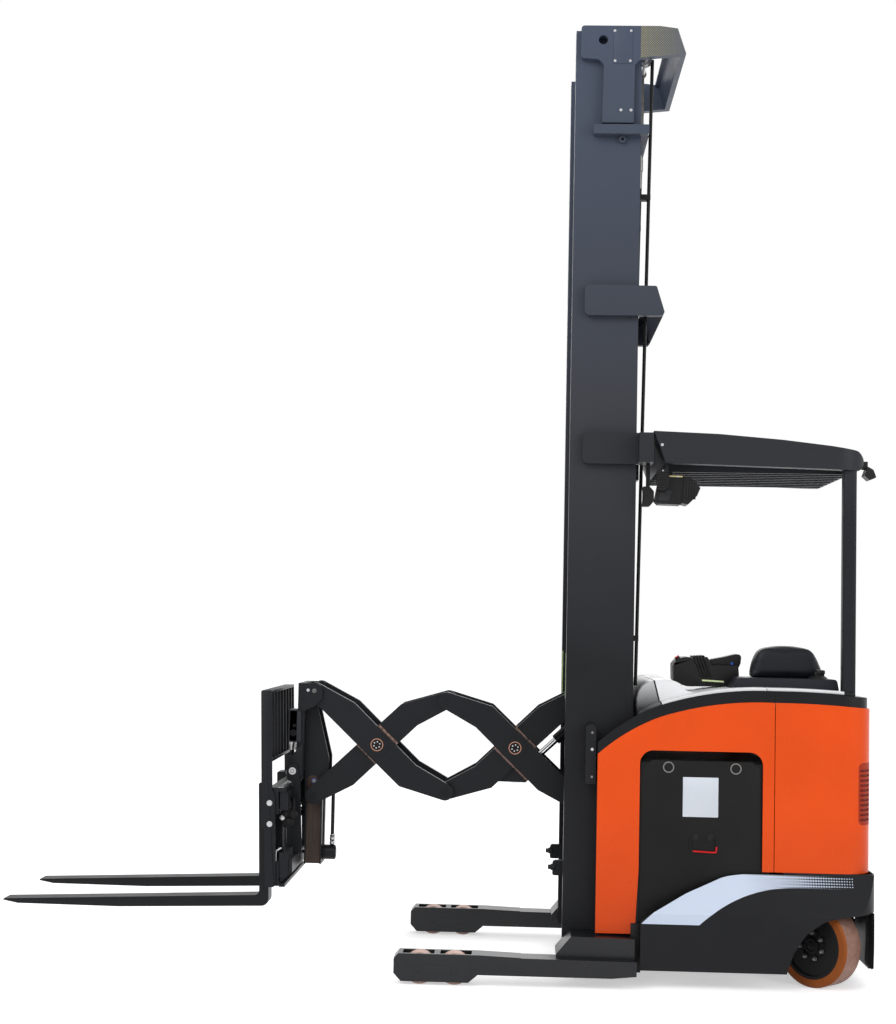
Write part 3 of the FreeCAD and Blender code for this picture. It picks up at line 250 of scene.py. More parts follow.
def mast_sky_reflection_and_dots(f, tone):
    """Painted sky reflection, lighter and bluer towards the top, and the faded dots on the near head bracket.
    """
    x, y, z = truck_axes(f)
    # painted reflection of the sky: the paint grows lighter and bluer higher up the mast
    tone = f.mix(z.clamped(1.3, 2.4), tone, (0.036, 0.039, 0.047))
    tone = f.mix(z.clamped(2.4, 4.0), tone, (0.060, 0.076, 0.112))
    bracket = (x > 0.478) * (z > 3.882) * (abs(y) > 0.4325)
    pitch = WAVE / 0.0104
    dots = ((x * pitch).maths("SINE") * (z * pitch).maths("SINE")).clamped(0.35, 0.6)
    fade = 1.0 - (x.clamped(0.48, 0.67) * 0.75)
    tone = f.mix(bracket, tone, (0.085, 0.098, 0.130))
    return f.mix(bracket * dots * fade, tone, (0.50, 0.42, 0.10))


def scraped(f, tone):
    """Primer scraped bare on an inner arm where the outer arm's edges pass over it."""
    x, y, z = truck_axes(f)
    turn = math.radians(44.0)
    bands = None
    for pivot in (REAR_PIVOT * MM, FRONT_PIVOT * MM):
        off = abs((x - pivot) * math.sin(turn) + (z - PIVOT_Z * MM) * math.cos(turn))
        near = between(off, 0.0565, 0.068) * (abs(x - pivot) < 0.12)
        bands = near if bands is None else bands + near
    rubbed = f.noise(70.0, 5.0, 0.7).clamped(0.36, 0.5)
    return f.mix(bands * rubbed, tone, (0.30, 0.19, 0.155))


def primed_channel(f, tone):
    """Brown primer left bare inside the roller channels."""
    x, y, z = truck_axes(f)
    inside = between(x, -0.9155, -0.8515) * between(z, 0.394, 0.764) * (abs(y) < 0.076)
    streaks = f.noise(14.0, 5.0, 0.6, (4.0, 4.0, 0.6))
    return f.mix(inside, tone, f.mix(streaks, (0.036, 0.024, 0.019), (0.115, 0.084, 0.068)))


def leg_marks(f, tone):
    """Fine joints on the straddle legs: wheel cover, plugs, tip hole and sleeve edge."""
    x, y, z = truck_axes(f)
    flank = abs(abs(y) - 0.5925) > 0.0570
    across = abs(x + 0.311)
    up = abs(z - 0.062)
    lines = (edge_line(across, 0.089, 0.003) * (up < 0.0185)
             + edge_line(up, 0.0185, 0.003) * (across < 0.089) + edge_line(x, 0.034, 0.0025))
    for cx, cz, r in ((-0.158, 0.084, 0.017), (-0.042, 0.082, 0.017)):
        lines = lines + edge_line(distance(x - cx, z - cz), r, 0.003)
    lines = lines + (distance(x + 0.464, z - 0.075) < 0.006)
    return f.mix((lines * flank).maths("MINIMUM", 1.0), tone, (0.004, 0.004, 0.005))


def swoosh(f, tone):
    """Pale sweep along the skirt's upper edge, breaking up into dots towards the tail."""
    x, y, z = truck_axes(f)
    low_x, low_z, low_r = 1.1403, -0.1569, 0.5685
    top_x, top_z, top_r = 1.0190, -0.2339, 0.7021
    foot, edge, front, rear = 0.2595, 0.4595, 0.505, 1.386
    above_low_arc = (distance(x - low_x, z - low_z) > low_r) * (x < 1.14)
    field = (above_low_arc + (x > 1.1399) * (z > 0.4117)).maths("MINIMUM", 1.0)
    field = field * between(z, foot, edge) * between(x, front, rear) * (abs(y) > 0.5)
    under_top_arc = (distance(x - top_x, z - top_z) < top_r) + (x > 1.0)
    field = field * under_top_arc.maths("MINIMUM", 1.0)
    pitch = WAVE / 0.0105
    dots = (x * pitch).maths("SINE") + ((z - edge) * pitch).maths("SINE")
    shown = dots > (x.clamped(0.93, 1.40) * 3.3 - 1.85)
    normal = f.add("ShaderNodeNewGeometry", output="Normal")
    outward = (y * f.add("ShaderNodeSeparateXYZ", output=1, Vector=normal)) > 0.0
    return f.mix(field * shown * outward, tone, (0.58, 0.66, 0.80))


def cowl_joint_and_painted_shade(f, tone):
    """Joint between the front cowl and the hood top, the dark rear corner behind the post, and painted shade
    on the front cowl, darker towards its foot.
    """
    x, y, z = truck_axes(f)
    seam = x + (z - 1.231) * 0.26
    tone = f.mix(edge_line(seam, 0.573, 0.007), tone, (0.008, 0.008, 0.009))
    tone = f.mix((x > 1.345) * (z < 1.30), tone, (0.0070, 0.0070, 0.0076))
    # painted shade: the front cowl grows darker towards its foot, as a rounded cover lit from above would
    return f.mix((seam < 0.573) * (1.0 - z.clamped(1.12, 1.30)), tone, (0.030, 0.031, 0.034))


def guard_tones(f, tone):
    """Paler where the overhead guard stands in full light."""
    x, y, z = truck_axes(f)
    return f.mix(z.clamped(1.9, 2.15), tone, (0.021, 0.0225, 0.027))


def band_joint(f, tone):
    """Joints across the trim band."""
    x, y, z = truck_axes(f)
    return f.mix((edge_line(x, 1.062, 0.003) + edge_line(x, 0.497, 0.005)).maths("MINIMUM", 1.0), tone,
                 (0.003, 0.003, 0.003))


def panel_tones(f, tone):
    """A little deeper towards the floor."""
    x, y, z = truck_axes(f)
    return f.mix(z.clamped(0.3, 0.7), shade(ORANGE, 0.86), tone)


def tyre_tones(f, tone):
    """Glossy amber sidewalls and a dusty pinkish tread."""
    x, y, z = truck_axes(f)
    offset, half_tread = 0.010, 0.0485
    along = abs((x - WHEEL_X * MM + offset * math.sin(STEER)) * math.sin(STEER)
                + (y - WHEEL_Y * MM + offset * math.cos(STEER)) * math.cos(STEER))
    f.set("Roughness", (along < half_tread) * 0.3 + 0.28)
    scuffs = f.noise(40.0, 5.0, 0.65).clamped(0.3, 0.7)
    tread = f.mix(scuffs, (0.245, 0.130, 0.098), (0.335, 0.195, 0.150))
    side = f.mix(f.noise(6.0, 2.0), (0.215, 0.055, 0.009), (0.29, 0.078, 0.014))
    return f.mix(along < half_tread, side, tread)


def screen_mesh(f, tone):
    """Fine woven screen behind the tail slots."""
    x, y, z = truck_axes(f)
    pitch = WAVE / 0.006
    weave = ((x + y * 0.7) * pitch).maths("SINE") * (z * pitch).maths("SINE")
    return f.mix(weave.clamped(-0.2, 0.5), (0.16, 0.014, 0.006), tone)


ORANGE = (0.735, 0.069, 0.0012)
BLACK = (0.0088, 0.0096, 0.0118)
charcoal = painted("charcoal_paint", (0.0105, 0.0115, 0.0142), 0.42, decorate=guard_tones)
band_black = painted("band_paint", (0.0065, 0.0068, 0.0080), 0.38, decorate=band_joint)
mast_grey = painted("mast_paint", (0.0105, 0.0110, 0.0128), 0.42, decorate=mast_sky_reflection_and_dots)
arm_black = painted("arm_paint", BLACK, 0.40)
arm_scraped = painted("arm_paint_scraped", BLACK, 0.40, decorate=scraped)
frame_primed = painted("fork_frame_paint", BLACK, 0.40, decorate=primed_channel)
leg_paint = painted("leg_paint", (0.0070, 0.0078, 0.0100), 0.30, coat=0.1, decorate=leg_marks, specular=0.3)
skirt_black = painted("skirt_paint", (0.0086, 0.0090, 0.0104), 0.38, decorate=swoosh)
orange = painted("orange_paint", ORANGE, 0.30, coat=0.12, dust=0.04, orange_peel=0.04, decorate=panel_tones)
vent_red = painted("vent_paint", (0.36, 0.030, 0.008), 0.5, dust=0.1)
screen_red = painted("vent_screen_paint", (0.26, 0.020, 0.006), 0.55, dust=0.1, decorate=screen_mesh)
battery_black = painted("battery_paint", (0.0060, 0.0060, 0.0060), 0.48, dust=0.25)
fork_black = painted("fork_paint", (0.0080, 0.0086, 0.0098), 0.40, worn=(0.03, 0.028, 0.025))
primer_brown = painted("primer_paint", (0.055, 0.034, 0.028), 0.55, dust=0.3)
# painted light: the valve block's black paint is made lighter to lift the shade that falls on it between the
# plates
valve_black_lightened = painted("valve_paint", (0.028, 0.030, 0.034), 0.42)
steel = plain_metal("plain_steel", (0.55, 0.55, 0.56), 0.34)
dark_steel = plain_metal("chain_steel", (0.20, 0.195, 0.19), 0.38)
chrome = plain_metal("hard_chrome", (0.78, 0.79, 0.81), 0.12)
zinc = plain_metal("zinc_bolt", (0.52, 0.52, 0.53), 0.36, brushed=False)
copper = plain_metal("bronze_ring", (0.42, 0.22, 0.16), 0.42, brushed=False)
hood_grey = moulded("hood_plastic", (0.78, 0.785, 0.80), 0.30, 700.0, 0.05, decorate=cowl_joint_and_painted_shade)
black_plastic = moulded("black_plastic", (0.0068, 0.0068, 0.0075), 0.42)
blue_black = moulded("pad_base_plastic", (0.0125, 0.0140, 0.0210), 0.44)
vinyl = moulded("grained_vinyl", (0.0072, 0.0082, 0.0125), 0.46, 420.0, 0.3)
rubber = moulded("hose_rubber", (0.0060, 0.0060, 0.0066), 0.5)
load_tread = moulded("load_wheel_tread", (0.70, 0.47, 0.40), 0.5, 300.0, 0.06)
drive_tread = painted("drive_wheel_tread", (0.30, 0.16, 0.12), 0.48, dust=0.1, orange_peel=0.1,
                      decorate=tyre_tones)
cast_black = painted("cast_paint", (0.0070, 0.0070, 0.0074), 0.5, dust=0.2, orange_peel=0.2)
red_plastic = moulded("red_plastic", (0.55, 0.012, 0.016), 0.34, 500.0, 0.04)
blue_plastic = moulded("blue_plastic", (0.02, 0.09, 0.42), 0.34, 500.0, 0.04)
label_white = moulded("blank_label", (0.60, 0.64, 0.70), 0.42, 500.0, 0.02)
strip_green = moulded("green_strip", (0.30, 0.42, 0.17), 0.5, 500.0, 0.05)
strip_lamp = moulded("light_strip", (0.62, 0.72, 0.40), 0.3, 500.0, 0.05)
matt_rubber = moulded("flap_rubber", (0.0040, 0.0040, 0.0042), 0.8, 300.0, 0.1, specular=0.08)
lens_white = moulded("lamp_lens", (0.74, 0.75, 0.76), 0.16, 60.0, 0.25)
lens_dark = moulded("smoked_lens", (0.02, 0.021, 0.024), 0.08, 60.0, 0.1)
bar_brass = plain_metal("plated_bar", (0.42, 0.38, 0.20), 0.4)

finishes = {
    charcoal: ["overhead_guard", "guard_supports", "chassis_frame"],
    band_black: ["trim_bands"],
    skirt_black: ["skirt"],
    leg_paint: ["base_legs", "load_axles"],
    orange: ["side_panels", "corner_panels"],
    vent_red: ["corner_vents"],
    mast_grey: ["mast_outer", "mast_middle", "mast_inner", "lift_barrels", "mast_braces"],
    arm_scraped: ["arm_rear_inner", "arm_front_inner"],
    frame_primed: ["fork_frame"],
    arm_black: ["arm_rear_outer", "arm_front_outer", "carriage", "tilt_carriage", "side_shift_frame",
                "load_backrest", "reach_barrels", "tilt_barrel", "caster_fork", "drive_leg"],
    fork_black: ["forks"],
    battery_black: ["battery"],
    hood_grey: ["hood", "tower_cover"],
    chrome: ["reach_rods", "lift_rods", "tilt_rod"],
    steel: ["head_sheaves"],
    dark_steel: ["lift_chains"],
    rubber: ["mast_pipes", "fork_hoses", "deck_mats"],
    blue_black: ["pad_base"],
    vinyl: ["back_pad"],
    black_plastic: ["console", "hand_controls", "work_lamps"],
    load_tread: ["load_wheel_near_front", "load_wheel_near_rear", "load_wheel_far_front",
                 "load_wheel_far_rear", "caster_wheels"],
    drive_tread: ["drive_tyre"],
    cast_black: ["drive_hub", "traction_motor"],
}
for material, names in finishes.items():
    for name in names:
        mesh = nodes[name].data
        mesh.materials.clear()
        mesh.materials.append(material)


# making pieces
def alone(piece):
    """Nothing is selected but this piece, and it is the active one."""
    bpy.ops.object.select_all(action="DESELECT")
    piece.select_set(True)
    bpy.context.view_layer.objects.active = piece


def started(name, kind, **settings):
    """A primitive with this name, alone in the selection."""
    bpy.ops.object.select_all(action="DESELECT")
    getattr(bpy.ops.mesh, f"primitive_{kind}_add")(**settings)
    piece = bpy.context.object
    piece.name = name
    piece.data.name = name
    return piece


def choose(piece, test):
    """In edit mode, the faces that pass the test and no others are selected."""
    shape = bmesh.from_edit_mesh(piece.data)
    for face in shape.faces:
        face.select_set(False)
    for face in shape.faces:
        if test(face):
            face.select_set(True)
    bmesh.update_edit_mesh(piece.data)


def finished(piece, body, material=None, bevel=0.0, segments=2, smooth=35.0):
    """Edges softened, shading set, the place moved into the mesh, riding on its body."""
    if bpy.context.mode != "OBJECT":
        bpy.ops.object.mode_set(mode="OBJECT")
    alone(piece)
    bpy.ops.object.transform_apply(location=True, rotation=True, scale=True)
    if bevel:
        soft = piece.modifiers.new("edges", "BEVEL")
        soft.width = bevel * MM
        soft.segments = segments
        soft.limit_method = "ANGLE"
        soft.angle_limit = math.radians(32.0)
        bpy.ops.object.modifier_apply(modifier="edges")
    bpy.ops.object.shade_smooth_by_angle(angle=math.radians(smooth))
    if material:
        piece.data.materials.clear()
        piece.data.materials.append(material)
    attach(piece, body)
    return piece


TURNS = {"-y": (math.pi / 2, 0, 0), "+y": (-math.pi / 2, 0, 0), "+z": (0, 0, 0), "-z": (math.pi, 0, 0),
         "+x": (0, math.pi / 2, 0), "-x": (0, -math.pi / 2, 0)}


def lathed(name, place, facing, radius, height, steps, materials, sides=28, bevel=0.0, body=None):
    """Round piece facing one way: a disc whose face is inset, raised, sunk or painted step by step."""
    piece = started(name, "cylinder", vertices=sides, radius=radius * MM, depth=height * MM,
                    location=(0, 0, height * MM / 2))
    bpy.ops.object.transform_apply(location=True, rotation=False, scale=False)
    for material in materials:
        piece.data.materials.append(material)
    bpy.ops.object.mode_set(mode="EDIT")
    choose(piece, lambda face: face.normal.z > 0.9)
    for kind, amount in steps:
        if kind == "inset":
            bpy.ops.mesh.inset(thickness=amount * MM, depth=0.0)
        elif kind == "rise":
            bpy.ops.mesh.extrude_region_move(TRANSFORM_OT_translate={"value": (0, 0, amount * MM)})
        else:
            piece.active_material_index = amount
            bpy.ops.object.material_slot_assign()
    bpy.ops.object.mode_set(mode="OBJECT")
    if bevel:
        soft = piece.modifiers.new("edges", "BEVEL")
        soft.width = bevel * MM
        soft.segments = 2
        bpy.ops.object.modifier_apply(modifier="edges")
    piece.rotation_euler = TURNS[facing]
    if place is not None:
        piece.location = at(*place)
    alone(piece)
    bpy.ops.object.transform_apply(location=True, rotation=True, scale=True)
    bpy.ops.object.shade_smooth_by_angle(angle=math.radians(35.0))
    if body:
        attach(piece, body)
    return piece


def plate(name, points, low, high, body, material, corner=0.0, bevel=0.0, segments=2, smooth=35.0):
    """Plate whose outline is a list of (x, z), from y = low to y = high, its corners rounded."""
    piece = started(name, "circle", vertices=len(points), radius=1.0, fill_type="NGON")
    bpy.ops.object.mode_set(mode="EDIT")
    shape = bmesh.from_edit_mesh(piece.data)
    for vert, (x, z) in zip(shape.verts, points):
        vert.co = at(x, low, z)
    bmesh.update_edit_mesh(piece.data)
    bpy.ops.mesh.select_all(action="SELECT")
    if corner:
        bpy.ops.mesh.bevel(affect="VERTICES", offset=corner * MM, segments=5)
        bpy.ops.mesh.select_all(action="SELECT")
    bpy.ops.mesh.extrude_region_move(TRANSFORM_OT_translate={"value": (0, (high - low) * MM, 0)})
    bpy.ops.mesh.select_all(action="SELECT")
    bpy.ops.mesh.normals_make_consistent(inside=False)
    return finished(piece, body, material, bevel=bevel, segments=segments, smooth=smooth)


def repeated(model, name, places, body):
    """Copies of a model, each with its own mesh, at its place, joined as one piece."""
    copies = []
    for matrix in places:
        copy = model.copy()
        copy.data = model.data.copy()
        copy.data.transform(matrix)
        bpy.context.scene.collection.objects.link(copy)
        copies.append(copy)
    bpy.data.objects.remove(model)
    alone(copies[0])
    for copy in copies[1:]:
        copy.select_set(True)
    if len(copies) > 1:
        bpy.ops.object.join()
    copies[0].name = name
    copies[0].data.name = name
    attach(copies[0], body)
    return copies[0]


def joined(name, pieces, body, turn=None):
    """Several pieces as one, turned about the origin if a matrix is given."""
    alone(pieces[0])
    for piece in pieces[1:]:
        piece.select_set(True)
    bpy.ops.object.join()
    whole = pieces[0]
    whole.name = name
    whole.data.name = name
    if turn:
        whole.data.transform(turn)
    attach(whole, body)
    return whole


def spots(*points):
    """Places on both sides for a model that faces the near side."""
    places = []
    for x, y, z in points:
        places.append(put(x, -y, z))
        places.append(put(x, y, z) @ Matrix.Rotation(math.pi, 4, "Z"))
    return places


def mirrored(piece, name, body):
    """The same piece on the far side, a mirror copy with its faces turned right again."""
    copy = piece.copy()
    copy.data = piece.data.copy()
    copy.name = name
    copy.data.name = name
    copy.data.transform(Matrix.Diagonal((1.0, -1.0, 1.0, 1.0)))
    copy.data.flip_normals()
    bpy.context.scene.collection.objects.link(copy)
    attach(copy, body)
    return copy


def bent_rod(name, points, radius, body, material):
    """Round bar along a smooth line through or near these places."""
    bpy.ops.object.select_all(action="DESELECT")
    bpy.ops.curve.primitive_nurbs_path_add()
    rod = bpy.context.object
    rod.data.splines.clear()
    line = rod.data.splines.new("NURBS")
    line.points.add(len(points) - 1)
    for point, place in zip(line.points, points):
        point.co = (*at(*place), 1.0)
    line.order_u = 3
    line.use_endpoint_u = True
    rod.data.bevel_depth = radius * MM
    rod.data.bevel_resolution = 4
    rod.data.use_fill_caps = True
    rod.location = (0, 0, 0)
    bpy.ops.object.convert(target="MESH")
    rod = bpy.context.object
    rod.name = name
    rod.data.name = name
    return finished(rod, body, material)


def by_turns(*amounts):
    """An inset, a rise, an inset and so on, each by its own amount."""
    return [(("inset", "rise")[i % 2], amount) for i, amount in enumerate(amounts)]


def cap_bolt(radius, metal, rise=5.0):
    """Washer and plain domed head, facing the near side."""
    return lathed("bolt_model", None, "-y", radius * 1.05, 0.8,
                  by_turns(radius * 0.14, rise * 0.6, radius * 0.2, rise * 0.28, radius * 0.3, rise * 0.12),
                  [metal], sides=24)


def pin_end(radius, metal, inner):
    """Flush pin end with a chamfer, a groove and a key socket."""
    return lathed("pin_model", None, "-y", radius, 1.2,
                  [("inset", radius * 0.12), ("rise", 0.8), ("inset", radius * 0.2), ("rise", -1.0),
                   ("inset", radius * 0.1), ("paint", 1), ("rise", 0.8), ("inset", radius * 0.22),
                   ("rise", -2.0)],
                  [metal, inner], sides=32)


# mast head and side plates
MAST_OUT = 433.0
cover = plate("head_cover_near", [(363, 3862), (443, 3862), (443, 4015), (363, 4015)], -MAST_OUT - 2.5,
              -MAST_OUT, "truck", mast_grey, corner=3.0, bevel=0.6)
mirrored(cover, "head_cover_far", "truck")
repeated(cap_bolt(6.2, zinc, 4.0), "head_bolts",
         spots((367, MAST_OUT + 0.5, 4004), (436, MAST_OUT + 0.5, 4004), (369, MAST_OUT + 0.5, 3873),
               (434, MAST_OUT + 0.5, 3873), (397, MAST_OUT, 3660), (440, MAST_OUT, 3660)), "truck")
repeated(pin_end(11.0, mast_grey, cast_black), "slider_boss_ends", spots((407, 415, 3539)), "truck")
repeated(cap_bolt(6.0, zinc, 4.0), "guard_bolts", spots((584, 530, 2219)), "truck")
repeated(cap_bolt(6.0, zinc, 3.0), "bracket_bolts", spots((314, 498, 951)), "truck")
repeated(cap_bolt(5.0, dark_steel, 3.0), "bracket_foot_bolts", spots((314, 498, 838), (314, 498, 1020)),
         "truck")

# scissor pins
ARM_FACE = 145.2
for name, x, body in (("rear_hub", REAR_PIVOT, "rear_inner_arm"),
                      ("front_hub", FRONT_PIVOT, "front_inner_arm")):
    cap = lathed("hub_model", None, "-y", 27.5, 2.0,
                 [("inset", 3.5), ("paint", 1), ("rise", -1.2), ("inset", 2.0), ("rise", 2.6),
                  ("inset", 12.0), ("rise", -1.0)], [copper, cast_black], sides=40)
    repeated(cap, name + "_caps", spots((x, ARM_FACE, PIVOT_Z)), body)
    studs = [(x + 13.5 * math.cos(a), ARM_FACE + 2.4, PIVOT_Z + 13.5 * math.sin(a))
             for a in (math.radians(60 * i + 20) for i in range(6))]
    repeated(cap_bolt(3.2, steel, 2.2), name + "_studs", spots(*studs), body)
repeated(pin_end(17.0, arm_black, cast_black), "knee_pins_low", spots((KNEE, ARM_FACE, 726.8)),
         "rear_inner_arm")
repeated(pin_end(17.0, arm_black, cast_black), "knee_pins_high", spots((KNEE, ARM_FACE, 1123.2)),
         "front_inner_arm")
repeated(pin_end(15.0, arm_black, cast_black), "roller_pins", spots((HEAD, 112.2, 695.5)), "front_inner_arm")

# fork side
FRAME_FACE, BACKREST_FACE = 161.2, 384.0
TILT_X, TILT_Z, DROOP = -969.0, 806.0, 1.7
repeated(cap_bolt(6.5, zinc), "ear_bolts", spots((-911.0, FRAME_FACE, 1156.0)), "fork_frame")
repeated(pin_end(9.0, dark_steel, cast_black), "ear_pins", spots((-884.0, FRAME_FACE, 1154.0)), "fork_frame")
blue_ring = lathed("ring_model", None, "-y", 11.0, 0.8,
                   [("inset", 3.0), ("paint", 1), ("rise", 0.8), ("inset", 1.5), ("rise", 0.6),
                    ("inset", 3.0), ("rise", -1.0)], [blue_plastic, dark_steel], sides=28)
repeated(blue_ring, "channel_nipples", spots((-884.0, 78.8, 757.0)), "fork_frame")
repeated(pin_end(15.5, steel, dark_steel), "tilt_pin_ends", spots((TILT_X, 178.2, TILT_Z)), "fork_frame")
repeated(cap_bolt(11.5, zinc, 6.0), "side_plate_bolts",
         spots((-1037.3, BACKREST_FACE, 686.5), (-1035.0, BACKREST_FACE, 598.6)), "fork_carriage")
plate("slide_strip_top", [(-1004, 750), (-980, 751), (-980, 754), (-1004, 753)], -366, 366, "fork_carriage",
      steel, bevel=0.5)
tilted = (put(TILT_X, 0, TILT_Z) @ Matrix.Rotation(math.radians(-DROOP), 4, "Y")
          @ Matrix.Translation(-at(TILT_X, 0, TILT_Z)))
side = plate("backrest_side", [(-1063, 338), (-1063, 578), (-1075, 590), (-1075, 1162), (-1030, 1162),
                               (-1029, 744), (-1017, 716), (-1017, 345), (-1026, 336)], -BACKREST_FACE,
             -BACKREST_FACE + 8, "fork_carriage", arm_black, corner=7.0, bevel=2.5)
rows = [side, mirrored(side, "backrest_side_far", "fork_carriage")]
for name, low, high in (("top", 1150, 1163), ("low", 861, 874)):
    rows.append(plate("backrest_rail_" + name, [(-1074, low), (-1074, high), (-1029, high), (-1029, low)],
                      -380, 380, "fork_carriage", arm_black, bevel=3.0))
BARS, BAR_PITCH, BAR_THICK = 7, 96, 10
for i in range(BARS):
    middle = BAR_PITCH * (i - (BARS - 1) / 2)
    rows.append(plate(f"backrest_bar_{i}", [(-1072, 868), (-1072, 1156), (-1030, 1156), (-1030, 868)],
                      middle - BAR_THICK / 2, middle + BAR_THICK / 2, "fork_carriage", arm_black, bevel=1.5))
backrest = joined("backrest_grille", rows, "fork_carriage", turn=tilted)
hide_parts("load_backrest")
lug = plate("slide_end_a", [(-1012, 434), (-1012, 486), (-986, 500), (-984, 494), (-1005, 482), (-1005, 434)],
            -362, -352, "tilt_carriage", zinc, bevel=0.8)
tongue = plate("slide_end_b", [(-1002, 356), (-1002, 420), (-994, 420), (-994, 356)], -364.5, -360.2,
               "tilt_carriage", steel, bevel=0.8)
joined("slide_end", [lug, tongue], "tilt_carriage")
plate("slide_block", [(-994, 372), (-994, 478), (-956, 478), (-951, 392), (-966, 372)], -366, -360.2,
      "tilt_carriage", arm_black, corner=4.0, bevel=1.5)

# valve block and its fittings on the fork frame
block = plate("valve_block", [(-994, 930), (-994, 1071), (-955.5, 1071), (-955.5, 930)], -158, -60,
              "fork_frame", valve_black_lightened, corner=4.0, bevel=2.0)
cheek = plate("valve_cheek", [(-990, 934), (-990, 1067), (-940, 1067), (-937, 930)], -158, -146.5,
              "fork_frame", valve_black_lightened, corner=4.0, bevel=2.0)
joined("valve_body", [block, cheek], "fork_frame")
port = lathed("port_model", None, "-y", 15.0, 2.0,
              [("inset", 2.0), ("paint", 1), ("rise", 5.0), ("inset", 4.0), ("rise", -3.0), ("inset", 3.0),
               ("rise", 1.5)], [arm_black, cast_black], sides=28, bevel=0.6)
repeated(port, "valve_port", [put(-972, -157.8, 969)], "fork_frame")
cap = lathed("port_cap_model", None, "-y", 8.5, 2.0, by_turns(1.0, 5.0, 2.0, 1.5), [cast_black], sides=6,
             bevel=0.6)
repeated(cap, "valve_cap", [put(-968, -157.8, 1001)], "fork_frame")
nipple = lathed("nipple_model", None, "-z", 9.0, 10.0, by_turns(1.5, 8.0, 1.0, 14.0, 1.2, 6.0), [zinc],
                sides=12, bevel=0.6)
repeated(nipple, "valve_nipples", [put(x, y, 930) for x, y in ((-981, -140), (-962, -128), (-981, -96))],
         "fork_frame")
bent_rod("valve_hose", [(-981, -140, 894), (-981, -140, 868), (-976, -132, 850), (-962, -118, 848),
                        (-957, -110, 862)], 6.0, "fork_frame", rubber)

wing = plate("frame_wing", [(-928, 925), (-998, 849), (-1000, 812), (-985, 780), (-952, 770), (-928, 790)],
             -159.8, -152.0, "fork_frame", arm_black, corner=5.0, bevel=1.5)
mirrored(wing, "frame_wing_far", "fork_frame")

# hose couplings behind the slide frame
knob = lathed("coupling_model", None, "-y", 21.0, 10.0, by_turns(3.0, 4.0, 2.0, 8.0, 5.0, 5.0), [cast_black],
              sides=8, bevel=1.6)
repeated(knob, "hose_couplings", [put(x, y, z) @ Matrix.Rotation(math.radians(a), 4, "Y")
                                  for x, y, z, a in ((-975, -312, 640, 10), (-946, -306, 636, 30),
                                                     (-960, -304, 604, 50))]
         + [put(x, y, z) @ Matrix.Rotation(math.pi, 4, "Z")
            for x, y, z in ((-975, 312, 640), (-946, 306, 636), (-960, 304, 604))], "tilt_carriage")
stub = lathed("stub_model", None, "-y", 11.0, 12.0, by_turns(2.0, 6.0, 2.0, 3.0), [zinc], sides=24, bevel=0.8)
repeated(stub, "coupling_stubs", spots((-990, 312, 620)), "tilt_carriage")
for side, tag in ((-1, "near"), (1, "far")):
    bent_rod("shift_hose_" + tag, [(-946, side * 306, 640), (-944, side * 290, 676), (-952, side * 262, 700),
                                   (-960, side * 210, 690), (-960, side * 188, 650)], 6.5, "tilt_carriage",
             rubber)
boss = plate("primer_boss", [(-914, 702), (-914, 781), (-864, 781), (-864, 702)], -79.0, -77.2, "fork_frame",
             primer_brown, corner=22.0, bevel=0.5)
mirrored(boss, "primer_boss_far", "fork_frame")
fitting = lathed("nut_model", None, "+z", 11.5, 9.0, by_turns(1.5, 5.0, 0.8, 9.0), [zinc], sides=6, bevel=0.8)
repeated(fitting, "tilt_hose_nuts", [put(-806, y, z) for y in (-14, 14) for z in (478, 496)],
         "fork_frame")
lathed("tilt_cylinder_cap", (-793.8, 0, 440), "+x", 31.0, 2.0, by_turns(4.0, 3.0, 8.0, -2.0, 5.0, 1.0),
       [arm_black], sides=40, bevel=0.8, body="fork_frame")

# carriage strips seen ahead of the mast
strip = plate("guide_strip_near", [(204, 1150), (208, 1150), (208, 1344), (204, 1344)], -289, -275,
              "lift_carriage", strip_green, bevel=0.6)
mirrored(strip, "guide_strip_far", "lift_carriage")
clamp = lathed("clamp_model", None, "-x", 17.0, 10.0, by_turns(3.0, 10.0, 4.0, 12.0), [rubber], sides=20,
               bevel=2.0)
repeated(clamp, "front_clamp_rollers", [put(175, y, 436) for y in (-278, 278)], "lift_carriage")

# battery face
FACE = 519.0
face = plate("battery_face_near", [(513, 242), (1012, 242), (1012, 876), (972, 914), (560, 915), (526, 884),
                                   (513, 870)], -FACE - 2.5, -FACE - 0.2, "truck", battery_black, bevel=0.8)
mirrored(face, "battery_face_far", "truck")
ring = lathed("ring_model", None, "-y", 23.0, 2.4,
              [("inset", 4.5), ("paint", 1), ("rise", -2.0), ("inset", 3.0), ("rise", -0.3)],
              [dark_steel, cast_black], sides=36)
repeated(ring, "lifting_holes", spots((628, FACE + 2.3, 887), (904, FACE + 2.3, 886)), "truck")
plate("battery_label", [(688, 686), (833, 686), (833, 848), (688, 848)], -FACE - 3.2, -FACE - 2.4, "truck",
      label_white, corner=2.0, bevel=0.2)
hinge = lathed("hinge_model", None, "-y", 15.0, 3.0, by_turns(3.0, 2.4, 3.0, 1.4), [black_plastic], sides=12,
               bevel=0.6)
repeated(hinge, "handle_hinges", spots((740, FACE + 2.3, 604), (800, FACE + 2.3, 604)), "truck")
for side, tag in ((-1, "near"), (1, "far")):
    y = side * (FACE + 7.0)
    bent_rod("handle_sides_" + tag, [(740, y, 600), (722, y, 600), (720, y, 592), (721, y, 552),
                                     (731, y, 547)], 2.6, "truck", black_plastic)
    bent_rod("handle_right_" + tag, [(800, y, 600), (822, y, 600), (826, y, 592), (826, y, 565)], 2.6,
             "truck", black_plastic)
    bent_rod("handle_grip_" + tag, [(731, y, 547), (780, y, 545), (822, y, 543), (827, y, 547),
                                    (827, y, 567)], 3.6, "truck", red_plastic)

# hood over the battery, with the raised edge that shows above the trim band
BODY_LINE = (((336, 935), (426, 1006), (590, 1092)), ((590, 1092), (830, 1148), (1062, 1160)),
             ((1062, 1160), (1270, 1156), (1476, 1140)))


